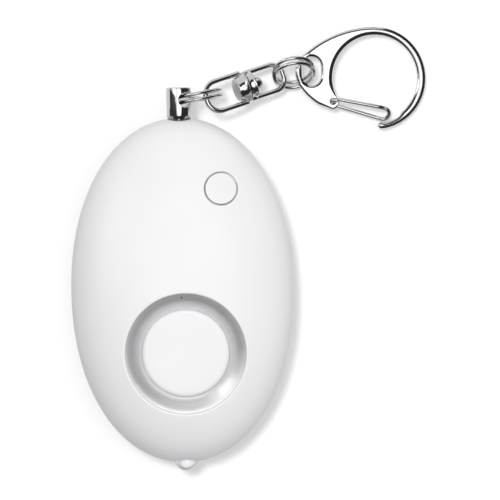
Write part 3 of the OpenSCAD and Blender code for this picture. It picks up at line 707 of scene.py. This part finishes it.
def rear_rows(inset):
    """Rows of the back from just under the seam to the flat, ending in one point."""
    depth = SEAM_Z + REST_CUT - inset
    last = math.asin(((SEAM_Z - inset) / depth) ** (REAR_POWER / 2))
    rows = []
    for j in range(1, REAR_ROWS + 1):
        t = last * (j / REAR_ROWS) ** ROW_CROWD
        share = math.cos(t) ** (2 / REAR_POWER)
        z = SEAM_Z - depth * math.sin(t) ** (2 / REAR_POWER)
        rows.append(plan_row(share, z, inset))
    rows += [plan_row(share * part, z, inset) for part in FLAT_RINGS]
    return rows + [[Vector((0, 0, z))]]


points, faces = [], []
rear = [add_row(plan_row(1, SEAM_Z - up, inset)) for inset, up in SEAM_ROWS]
rear += [add_row(row) for row in rear_rows(0.0)]
hollow = [add_row(plan_row(1, SEAM_Z - SEAM_GAP, WALL))]
hollow += [add_row(row) for row in rear_rows(WALL)]
faces += stack_faces(rear) + stack_faces(hollow) + ring_faces(rear[0], hollow[0])
rear_shell = shape("case_back", points, faces)
for x, y in SCREW_AT:
    spot = placed((x, y, 0))
    far = Vector((x, y)) * (1 + POST_R / math.hypot(x, y))
    foot = rear_z(far.x, far.y) + POST_SKIN
    post = rod(POST_R, foot, SEAM_Z - POST_GAP)
    joined(rear_shell, shape("post", *turned(post, POST_SIDES, spot)), "UNION")
    bore = rod(SCREW_HEAD_ROOM, -BORE_SPARE, SCREW_SEAT)[:3]
    bore += rod(SCREW_ROOM, SCREW_SEAT, SEAM_Z + BORE_SPARE)[1:]
    joined(rear_shell, shape("bore", *turned(bore, POST_SIDES, spot)), "DIFFERENCE")
cut_end_holes(rear_shell)
hand_over(rear_shell, "case", "case_white", "rear_shell")

# %% [markdown]
# The siren is a shallow silver dish with a white disc in its middle. At its top, a small hole is shown
# as a black dot on the dish. This is painted shade, standing in for the shade inside the hole. Turning
# profiles about the siren's leaning axis gives clean rings with exact radii. The dish dips towards
# the disc, so its far side mirrors the dark flags and its near side the light. A soft edge keeps the
# disc from looking cut out.

# %% Siren ring, dot and disc
RING_OUT, RING_BORE, RING_FOOT, RING_RIM = 10.48, 6.5, -2.6, -0.7
DISC_R, DISC_FOOT, DISC_SEAT_R, SKIRT_FOOT = 7.57, -2.0, 7.6, -2.4
ring_profile = [
    (RING_OUT, RING_FOOT), (RING_OUT, -0.92), (10.2, -0.99), (9.8, -1.14), (9.4, -1.33), (9.0, -1.56),
    (8.6, -1.79), (8.2, -1.98), (7.9, -2.085), (DISC_SEAT_R, -2.165),
    (DISC_SEAT_R, SKIRT_FOOT), (RING_BORE, SKIRT_FOOT), (RING_BORE, RING_FOOT),
]
siren_ring = shape("siren_trim", *turned(ring_profile, SIREN_STEPS, SIREN_PLACE, True))
hand_over(siren_ring, "case", "siren_silver", "siren_ring")
# The black dot is painted shade: a raised black plastic disc that stands in for the shade inside a small
# hole.
HOLE_SHADE_R, HOLE_SHADE_AT, HOLE_SHADE_TURN, HOLE_SHADE_FOOT = 0.15, 9.8, math.radians(93), -1.27
hole_shade_xy = HOLE_SHADE_AT * math.cos(HOLE_SHADE_TURN), HOLE_SHADE_AT * math.sin(HOLE_SHADE_TURN)
hole_shade_place = SIREN_PLACE @ placed((*hole_shade_xy, HOLE_SHADE_FOOT))
hole_shade_profile = [(0, 0), (HOLE_SHADE_R, 0), (HOLE_SHADE_R, 0.14), (HOLE_SHADE_R - 0.06, 0.18), (0, 0.19)]
siren_hole_shade = shape("siren_hole_shade", *turned(hole_shade_profile, 20, hole_shade_place))
hand_over(siren_hole_shade, "case", "black_plastic")

disc_profile = [
    (0, DISC_FOOT), (RING_BORE, DISC_FOOT), (RING_BORE + 0.2, SKIRT_FOOT), (DISC_R, SKIRT_FOOT),
    (DISC_R, -1.35), (7.55, -1.15), (7.49, -1.0), (7.39, -0.87),
    (7.25, -0.78), (7.05, -0.72), (6.8, RING_RIM),
    (5.0, RING_RIM), (2.5, RING_RIM), (0, RING_RIM),
]
siren_disc = shape("siren_cap", *turned(disc_profile, 128, SIREN_PLACE))
hand_over(siren_disc, "case", "case_white", "siren_disc")

# %% [markdown]
# The light's button follows the dome, so its face is a piece of the same surface. A thin gap and a
# rounded edge set it apart. Below the shell it keeps the flange that stops it from falling out.

# %% Light button
BUTTON_EDGE, EDGE_STEPS, FACE_RINGS = 0.16, 4, (0.7, 1.4, 2.0, 2.4)
FLANGE_R, FLANGE_TOP, FLANGE_LOW = 3.5, 11.7, 10.9
points = []
button_face = [[Vector((BUTTON_X, BUTTON_Y, front_z(BUTTON_X, BUTTON_Y)))]]
for radius in FACE_RINGS:
    button_face.append(loop_on_dome(BUTTON_PLACE, radius, BUTTON_STEPS))
for out, sink in rounded(BUTTON_EDGE, EDGE_STEPS):
    button_face.append(loop_on_dome(BUTTON_PLACE, BUTTON_R - out, BUTTON_STEPS, sink))
for radius, z in ((BUTTON_R, FLANGE_TOP), (FLANGE_R, FLANGE_TOP), (FLANGE_R, FLANGE_LOW)):
    button_face.append(circle_row(BUTTON_PLACE, radius, BUTTON_STEPS, z - SEAM_Z))
button_face.append([Vector((BUTTON_X, BUTTON_Y, FLANGE_LOW))])
button_rows = [add_row(row) for row in button_face]
button = shape("light_key", points, stack_faces(button_rows))
hand_over(button, "button", "case_white", "light_button")

# %% [markdown]
# The light at the lower end is a small clear dome with a flange that the two shells hold. Clear
# plastic alone would only bend the white paper behind it. A white core inside, as the real bulb has,
# gives the light middle and the dark rim of the picture.

# %% Light lens and core
LENS_SEAT, LENS_R, LENS_LONG, DOME_STEPS = -27.1, 2.0, 2.4, 12
CORE_R, CORE_FOOT, CORE_LONG = 1.15, -0.5, 2.3
lens_place = placed((0, LENS_SEAT, SEAM_Z), (90, "X"))
lens_profile = [(0, -0.7), (2.3, -0.7), (2.4, -0.6), (2.4, -0.1), (2.3, 0), (LENS_R, 0.02)]
lens_profile += dome_profile(LENS_R, LENS_LONG, DOME_STEPS)
lens = shape("light_lens", *turned(lens_profile, 64, lens_place))
hand_over(lens, "case", "lens_clear", "led_lens")
core_profile = [(0, CORE_FOOT), (CORE_R, CORE_FOOT)] + dome_profile(CORE_R, CORE_LONG, DOME_STEPS)
core = shape("light_core", *turned(core_profile, 48, lens_place))
hand_over(core, "case", "case_white")

# %% [markdown]
# The pull pin is a turned and plated head with a cross hole for its ring, on a thin shaft. The shaft
# keeps two contacts apart inside the case, and the siren sounds when it is drawn out.

# %% Pull pin
HEAD_R, HEAD_LOW, HEAD_TOP, HEAD_EDGE = 2.18, 28.4, 35.3, 0.22
CROSS_R, CROSS_Y, CROSS_HALF, CROSS_TURN = 1.4, 33.1, 4.0, 37.0
NECK_R, NECK_LONG, FOOT_LONG = 1.84, 1.0, 1.9
SHAFT_R, SHAFT_TIP = 1.0, 17.5
head_long = HEAD_TOP - HEAD_LOW
head_profile = [(0, 0), (NECK_R, 0), (NECK_R, NECK_LONG)]
head_profile += [(HEAD_R - 0.03, FOOT_LONG - 0.03), (HEAD_R, FOOT_LONG + 0.05)]
head_profile += [(HEAD_R - out, head_long - down) for down, out in rounded(HEAD_EDGE, EDGE_STEPS)]
head_profile.append((0, head_long))
pin_head = shape("pin_knob", *turned(head_profile, 96, along_y(HEAD_LOW, SEAM_Z)))
cross_place = placed((0, CROSS_Y, SEAM_Z), (CROSS_TURN, "Y"))
cross = rod(CROSS_R, -CROSS_HALF, CROSS_HALF)
joined(pin_head, shape("cross_tool", *turned(cross, HOLE_SIDES, cross_place)), "DIFFERENCE")
hand_over(pin_head, "pull_pin", "chrome", "pin_head")
shaft_profile = [
    (0, 0), (0.5, 0.02), (0.75, 0.14), (0.92, 0.36), (SHAFT_R, 0.7),
    (SHAFT_R, HEAD_LOW - SHAFT_TIP + 0.1), (0, HEAD_LOW - SHAFT_TIP + 0.1),
]
shaft = shape("pin_rod", *turned(shaft_profile, 48, along_y(SHAFT_TIP, SEAM_Z)))
hand_over(shaft, "pull_pin", "chrome", "pin_shaft")

# %% [markdown]
# Both split rings are one wire of almost two flat turns that rises past its own ends, so that a loop
# can be wound on. The same path as in the solids is drawn with more points and a rounder wire.

# %% Split rings
SPLIT_FROM, SPLIT_TO, RISE_FROM, RISE_TO = 25.0, 695.0, 340.0, 380.0
TURN_GAP = 0.43
SPLIT_STEPS, SPLIT_SIDES = 150, 16
PIN_RING_R, PIN_RING_WIRE, CLIP_RING_R, CLIP_RING_WIRE = 4.3, 0.6, 3.45, 0.7


def split_ring(name, place, radius, wire):
    """A split ring whose wire steps up to its second turn half way along."""
    path = []
    for i in range(SPLIT_STEPS + 1):
        a = SPLIT_FROM + (SPLIT_TO - SPLIT_FROM) * i / SPLIT_STEPS
        share = min(max((a - RISE_FROM) / (RISE_TO - RISE_FROM), 0), 1)
        level = (1 - math.cos(math.pi * share)) / 2 - 0.5
        turn = math.radians(a)
        x, y = radius * math.cos(turn), radius * math.sin(turn)
        path.append(place @ Vector((x, y, (wire + TURN_GAP) * level)))
    return shape(name, *drawn_wire(path, wire / 2, SPLIT_SIDES))


pin_ring_place = placed((3.1463, 33.6548, 5.5927), (10, "Z"), (90, "X"), (270, "Z"))
pin_ring = split_ring("pin_loop", pin_ring_place, PIN_RING_R, PIN_RING_WIRE)
hand_over(pin_ring, "pin_ring", "chrome", "pin_split_ring")
clip_ring_turns = (8, "Z"), (3, "Y"), (54, "X"), (180, "Z")
clip_ring_place = placed((20.1717, 37.5965, 3.9169), *clip_ring_turns)
clip_ring = split_ring("clip_loop", clip_ring_place, CLIP_RING_R, CLIP_RING_WIRE)
hand_over(clip_ring, "clip_ring", "chrome", "clip_split_ring")

# %% [markdown]
# The swivel is two cast loops on one rivet. Each loop is a bent bar that grows out of a round boss:
# the pin's side has a flat face and flares to the seam, the clip's side has a rounded collar. The
# bosses are turned, the bars drawn as wires and joined on. The flat face is bare steel, a thin disc
# of its own, because it looks duller than the chrome in the picture.

# %% Swivel
SWIVEL_PLACE = placed((11.7963, 35.2548, 5.5927), (17.5, "Z"), (17, "Y"))
AXLE_PLACE = SWIVEL_PLACE @ placed((0, 0, 0), (90, "Y"))
LOOP_WIRE, LOOP_START, BEND_STEPS, BAR_SIDES = 0.9, 0.35, 12, 20
EYE_LOOP, BOW_LOOP = (7.54, 2.65, 2.34), (7.14, 2.33, 1.93)
BOSS_SIDES, RIVET_SIDES = 72, 48
RIVET_R, RIVET_FOOT, RIVET_HEAD_R, RIVET_SEAT, RIVET_LONG = 0.58, -1.6, 1.08, 1.42, 2.05


def bent_bar(reach, half, corner, way):
    """A flat loop that leaves the boss at one side and comes back at the other."""
    path = [Vector((LOOP_START, half, 0)), Vector(((reach - corner) / 2, half, 0))]
    for first, sign in ((90, 1), (0, -1)):
        for i in range(BEND_STEPS + 1):
            middle = Vector((reach - corner, sign * (half - corner)))
            path.append(on_circle(middle, corner, first - 90 * i / BEND_STEPS).to_3d())
    path += [Vector(((reach - corner) / 2, -half, 0)), Vector((LOOP_START, -half, 0))]
    placed = [SWIVEL_PLACE @ Vector((way * p.x, p.y, 0)) for p in path]
    return drawn_wire(placed, LOOP_WIRE / 2, BAR_SIDES)


eye_boss = [
    (0, -1.86), (1.85, -1.86), (2.0, -1.83), (2.07, -1.74), (2.09, -1.6), (2.11, -1.35), (2.19, -1.05),
    (2.31, -0.75), (2.46, -0.45), (2.6, -0.26), (2.68, -0.2), (2.7, -0.14), (2.66, -0.06), (0, -0.05),
]
swivel_eye = shape("swivel_pin_side", *turned(eye_boss, BOSS_SIDES, AXLE_PLACE))
joined(swivel_eye, shape("eye_bar", *bent_bar(*EYE_LOOP, -1)), "UNION")
hand_over(swivel_eye, "swivel_eye_half", "chrome", "swivel_eye")
face_profile = [(0, -1.92), (1.72, -1.92), (1.82, -1.9), (1.84, -1.86), (0, -1.8)]
eye_face = shape("swivel_pin_face", *turned(face_profile, BOSS_SIDES, AXLE_PLACE))
hand_over(eye_face, "swivel_eye_half", "steel")
bow_boss = [
    (0.65, 0.05), (2.6, 0.06), (2.66, 0.1), (2.66, 0.18), (2.5, 0.24), (2.28, 0.3), (2.2, 0.4),
    (2.22, 0.55), (2.28, 0.75), (2.36, 0.95), (2.45, 1.12), (2.52, 1.22), (2.52, 1.3), (2.46, 1.36),
    (0.65, 1.36),
]
swivel_bow = shape("swivel_clip_side", *turned(bow_boss, BOSS_SIDES, AXLE_PLACE, True))
joined(swivel_bow, shape("bow_bar", *bent_bar(*BOW_LOOP, 1)), "UNION")
hand_over(swivel_bow, "swivel_bow_half", "chrome", "swivel_bow")
rivet_profile = rod(RIVET_R, RIVET_FOOT, RIVET_SEAT)[:3] + [(RIVET_HEAD_R + 0.1, RIVET_SEAT)]
rivet_profile += [(RIVET_HEAD_R + 0.15, RIVET_SEAT + 0.1), (RIVET_HEAD_R + 0.1, RIVET_SEAT + 0.3)]
rivet_profile += dome_profile(RIVET_HEAD_R, RIVET_LONG, 8)
rivet = shape("swivel_axle", *turned(rivet_profile, RIVET_SIDES, AXLE_PLACE))
hand_over(rivet, "swivel_eye_half", "chrome", "swivel_rivet")

# %% [markdown]
# The clip is cast in one piece: a flat plate with an oval eye that runs out into a round hook. Its
# outline is the tight wrap round a few circles, cut open at the mouth. A slab gives it depth. The
# slab's edges are chamfered in a few steps, wide inside the hook and narrow elsewhere: on a flat
# mirror it is the chamfer that draws the dark outlines of the picture.

# %% Clip hook, outline
CLIP_PLACE = placed((23.2717, 37.8465, 3.9169), (8.5, "Y"))
HOOK_C, HOOK_IN, HOOK_OUT, HOOK_T = Vector((11.2, -1.45)), 7.6, 8.95, 1.4
EYE_END, ROOT = (Vector((1.1, -0.2)), 3.9), (Vector((3.65, -5.85)), 0.9)
BROW, JAW = (Vector((11.2, -11.3)), 18.85), (Vector((6.9, 3.25)), 10.78)
MOUTH_FROM, MOUTH_TO, NOTCH_FROM, NOTCH_IN, TIP_R = 215.0, 277.0, 305.0, 7.95, 0.6
EYE_R, EYE_HALF = 1.8, 0.72
GATE_TURN, PIVOT_TURN, PIVOT_R, BORE_R = -14.5, 207.5, 8.5, 0.58
OUTER_EDGE, INNER_EDGE, BORE_EDGE = 0.48, 0.6, 0.1
CHAMFER = [(1.12, 0), (1, 0), (0.86, 0.025), (0.1, 0.287), (0.03, 0.35), (0, 0.48)]


def wrapped(spots):
    """The tight outline round a cloud of points, counter-clockwise."""
    spots = sorted(spots, key=lambda p: (p.x, p.y))

    def half(run):
        kept = []
        for p in run:
            while len(kept) > 1 and (kept[-1] - kept[-2]).cross(p - kept[-2]) <= 1e-9:
                kept.pop()
            kept.append(p)
        return kept[:-1]

    return half(spots) + half(spots[::-1])


def even(run, step):
    """The same line with points no more than a step apart."""
    out = []
    for p, q in zip(run, run[1:]):
        count = max(1, math.ceil((q - p).length / step))
        out += [p + (q - p) * k / count for k in range(count)]
    return out + [run[-1]]


cloud = [on_circle(c, r, 3 * i) for c, r in (EYE_END, ROOT, (HOOK_C, HOOK_OUT)) for i in range(120)]
cloud += [on_circle(*BROW, a) for a in range(90, 133, 2)]
cloud += [on_circle(*JAW, a) for a in range(212, 249, 3)]
rim = wrapped(cloud)


def angle_at(p):
    """Compass angle of a point, seen from the middle of the hook."""
    return math.degrees(math.atan2(p.y - HOOK_C.y, p.x - HOOK_C.x)) % 360


rim = [p for p in rim if not MOUTH_FROM - 3 < angle_at(p) < MOUTH_TO]
rim.sort(key=lambda p: (angle_at(p) - MOUTH_TO) % 360)
inner_line = [on_circle(HOOK_C, HOOK_IN, a) for a in range(int(MOUTH_FROM) - 2, -54, -3)]
notch = [on_circle(HOOK_C, NOTCH_IN, a) for a in range(-58, int(MOUTH_TO) - 359, -3)]
tip_mid = on_circle(HOOK_C, HOOK_OUT - TIP_R, MOUTH_TO)
tip = [on_circle(tip_mid, TIP_R, MOUTH_TO - 360 + 150 + 20 * k) for k in range(1, 10)]
root = [on_circle(*ROOT, a) for a in range(250, 371, 20)]
clip_line = even(rim, 0.5)[:-1] + root + inner_line + notch + tip
eye_line = [on_circle(Vector((0, EYE_HALF)), EYE_R, 10 * k) for k in range(19)]
eye_line += [on_circle(Vector((0, -EYE_HALF)), EYE_R, 180 + 10 * k) for k in range(19)]
pivot = on_circle(HOOK_C, PIVOT_R, PIVOT_TURN)
bore_line = [on_circle(pivot, BORE_R, 15 * k) for k in range(24)]
print(len(clip_line), "points round the clip")

# %% Clip hook, slab
EDGE_FADE, TIP_SIDE = 0.2, 270.0


def slab(outline, holes, thick, edge_at, place):
    """A flat piece with that outline and holes and chamfered edges, centred on the local XY plane."""
    spots, skin = [], []
    layers = [(inset, -1, drop) for inset, drop in CHAMFER]
    layers += [(inset, 1, drop) for inset, drop in reversed(CHAMFER)]
    caps = ([], [])
    for line, way in [(outline, 1)] + [(hole, -1) for hole in holes]:
        count = len(line)
        normals = []
        for i in range(count):
            run = (line[(i + 1) % count] - line[i - 1]).normalized()
            normals.append(Vector((-run.y, run.x)) * way)
        rows = []
        for inset, side, drop in layers:
            rows.append(list(range(len(spots), len(spots) + count)))
            for p, n in zip(line, normals):
                edge = edge_at(p)
                spot = p + n * inset * edge
                spots.append(place @ Vector((spot.x, spot.y, side * (thick / 2 - drop * edge))))
        skin += stack_faces(rows)
        caps[0].append(rows[0])
        caps[1].append(rows[-1])
    back = place.inverted()
    for cap in caps:
        numbers = [k for loop in cap for k in loop]
        flat = [[(back @ spots[k]).to_2d().to_3d() for k in loop] for loop in cap]
        skin += [tuple(numbers[k] for k in face) for face in tessellate_polygon(flat)]
    return spots, skin


def clip_edge(p):
    """Chamfer at a point of the clip's outline: wide inside the hook, but not at its tip."""
    from_pivot = (p - pivot).length
    if from_pivot < 2 * BORE_R:
        return BORE_EDGE
    inside = (p - HOOK_C).length < (HOOK_IN + HOOK_OUT) / 2
    at_tip = NOTCH_FROM > angle_at(p) > TIP_SIDE
    wide = INNER_EDGE if inside and not at_tip else OUTER_EDGE
    return min(wide, EDGE_FADE * from_pivot)


clip = shape("clip_body", *slab(clip_line, [eye_line, bore_line], HOOK_T, clip_edge, CLIP_PLACE))
hand_over(clip, "clip", "chrome", "clip_hook")

# %% [markdown]
# The gate is one bent wire. Its ends go into the plate from both sides as pins, and its two legs run
# out along the mouth to a round nose that rests against the hook's tip. A smooth curve through a few
# spots keeps every bend soft, as bent spring wire is.

# %% Clip gate
GATE_LONG, GATE_HALF, GATE_WIRE, GATE_LEVEL = 10.2, 0.92, 0.72, 1.15
NOSE_RISE, NOSE_LEVEL, NOSE_STEPS = 0.6, 0.1, 8


def smoothed(spots, steps):
    """A smooth curve through all the spots."""
    spots = [Vector(p) for p in spots]
    ends = [2 * spots[0] - spots[1]] + spots + [2 * spots[-1] - spots[-2]]
    out = []
    for a, b, c, d in zip(ends, ends[1:], ends[2:], ends[3:]):
        for k in range(steps):
            t = k / steps
            bend = (2 * a - 5 * b + 4 * c - d) * t**2 + (3 * b - a - 3 * c + d) * t**3
            out.append(0.5 * (2 * b + (c - a) * t + bend))
    return out + [spots[-1]]


leg = [(0, 0, 0.15), (0, 0, 0.6), (0.08, 0.05, 0.98), (0.42, 0.26, GATE_LEVEL), (1.1, 0.5, GATE_LEVEL)]
front_leg = leg + [(4.0, 0.66, 1.25), (7.0, 0.82, 1.34), (8.5, 0.91, 1.3)]
back_leg = leg + [(4.0, 0.66, 1.0), (7.0, 0.82, 0.84), (8.5, 0.91, 0.72)]
nose = []
for k in range(NOSE_STEPS + 1):
    a = math.pi / 2 - math.pi * k / NOSE_STEPS
    x, y = GATE_LONG - GATE_HALF + GATE_HALF * math.cos(a), GATE_HALF * math.sin(a)
    nose.append((x, y, NOSE_LEVEL + NOSE_RISE * math.sin(a)))
gate_line = front_leg + nose + [(x, -y, -z) for x, y, z in reversed(back_leg)]
gate_place = CLIP_PLACE @ placed((pivot.x, pivot.y, 0)) @ placed((0, 0, 0), (GATE_TURN, "Z"))
gate_path = [gate_place @ p for p in smoothed(gate_line, 4)]
gate = shape("clip_spring_gate", *drawn_wire(gate_path, GATE_WIRE / 2, 16))
hand_over(gate, "gate", "chrome", "clip_gate")

# %% [markdown]
# Four screws hold the halves together. Their heads show at the bottom of the sunk holes in the back,
# so each is turned and gets its cross slot by a cut.

# %% Case screws
HEAD_PROFILE = [(0, 3.5), (1.25, 3.52), (1.5, 3.68), (1.6, 3.95), (1.6, 4.7), (0.8, 4.7), (0.8, 10.3)]
HEAD_PROFILE += [(0.5, 10.6), (0, 10.6)]
SLOT_LONG, SLOT_WIDE, SLOT_FROM, SLOT_TO = 0.95, 0.17, 3.0, 4.25
SCREW_SIDES = 40
slot_line = []
for k in range(4):
    ahead = Vector((math.cos(k * math.pi / 2), math.sin(k * math.pi / 2)))
    beside = Vector((-ahead.y, ahead.x))
    slot_line += [
        ahead * SLOT_LONG - beside * SLOT_WIDE, ahead * SLOT_LONG + beside * SLOT_WIDE,
        ahead * SLOT_WIDE + beside * SLOT_WIDE,
    ]
screws = None
for x, y in SCREW_AT:
    one = shape("case_screw_set", *turned(HEAD_PROFILE, SCREW_SIDES, placed((x, y, 0))))
    slot_points = [(x + p.x, y + p.y, z) for z in (SLOT_FROM, SLOT_TO) for p in slot_line]
    low = list(range(len(slot_line)))
    high = [k + len(slot_line) for k in low]
    slot_faces = ring_faces(low, high) + [tuple(reversed(low)), tuple(high)]
    joined(one, shape("slot_tool", slot_points, slot_faces), "DIFFERENCE")
    screws = joined(screws, one, "UNION") if screws else one
hand_over(screws, "case", "steel", "case_screws")

# %% [markdown]
# The battery's spring is a coil that gets narrower towards the cell, on a small square plate. It is
# out of sight, but a coil is drawn like any other wire.

# %% Battery spring
CELL_Y, CELL_Z, SPRING_X, SPRING_SPAN, SPRING_WIRE = 6.4, 7.6, -9.425, 2.25, 0.35
COIL_STEPS, COIL_TURNS, COIL_R, COIL_SHRINK = 144, 3, 3.4, 1.4
PLATE_X, PLATE_T, CORNER_AT, CORNER_R, PLATE_EDGE = -9.76, 0.45, 2.8, 0.8, 0.1
coil = []
for i in range(COIL_STEPS + 1):
    s = i / COIL_STEPS
    r, a = COIL_R - COIL_SHRINK * s, s * 2 * COIL_TURNS * math.pi
    coil.append((SPRING_X + SPRING_SPAN * s, CELL_Y + r * math.cos(a), CELL_Z + r * math.sin(a)))
spring = shape("cell_spring", *drawn_wire(coil, SPRING_WIRE / 2, 12))
plate_line = []
for k, (u, v) in enumerate(((1, 1), (-1, 1), (-1, -1), (1, -1))):
    middle = CORNER_AT * Vector((u, v))
    plate_line += [on_circle(middle, CORNER_R, 90 * k + 15 * j) for j in range(7)]
plate_place = placed((PLATE_X, CELL_Y, CELL_Z), (90, "Y"))
plate = slab(plate_line, [], PLATE_T, lambda p: PLATE_EDGE, plate_place)
joined(spring, shape("spring_plate", *plate), "UNION")
hand_over(spring, "case", "steel", "battery_spring")

# %% [markdown]
# A soft lead joins the light to the board. It runs under the siren and beside the cells, as a smooth
# curve through a few spots.

# %% Lead of the light
LEAD_UNDER, LEAD_R, LEAD_STEPS, LEAD_SIDES = SIREN_Z - 11.445, 0.35, 6, 14
lead_spots = [
    (-0.64, -23, 8), (-0.64, -22.2, 8), (-1.2, -21, LEAD_UNDER + 0.9), (-3, -17.5, LEAD_UNDER),
    (-6, -12, LEAD_UNDER - 0.4), (-9.5, -6, LEAD_UNDER + 0.4), (-10.7, -3, 7.6), (-10.7, -0.5, 9.2),
    (-10.7, 4, 9.5), (-10.7, 9, 9.5), (-10.4, 12.5, 9.1), (-9.6, 15.5, 8.8), (-8.8, 18.5, 8.8),
    (-7.7, 21.2, 8.6), (-7.3, 21.9, 7.4), (-7.3, 21.9, 6.6),
]
lead = shape("light_lead", *drawn_wire(smoothed(lead_spots, LEAD_STEPS), LEAD_R, LEAD_SIDES))
hand_over(lead, "case", "wire_red", "signal_wires")
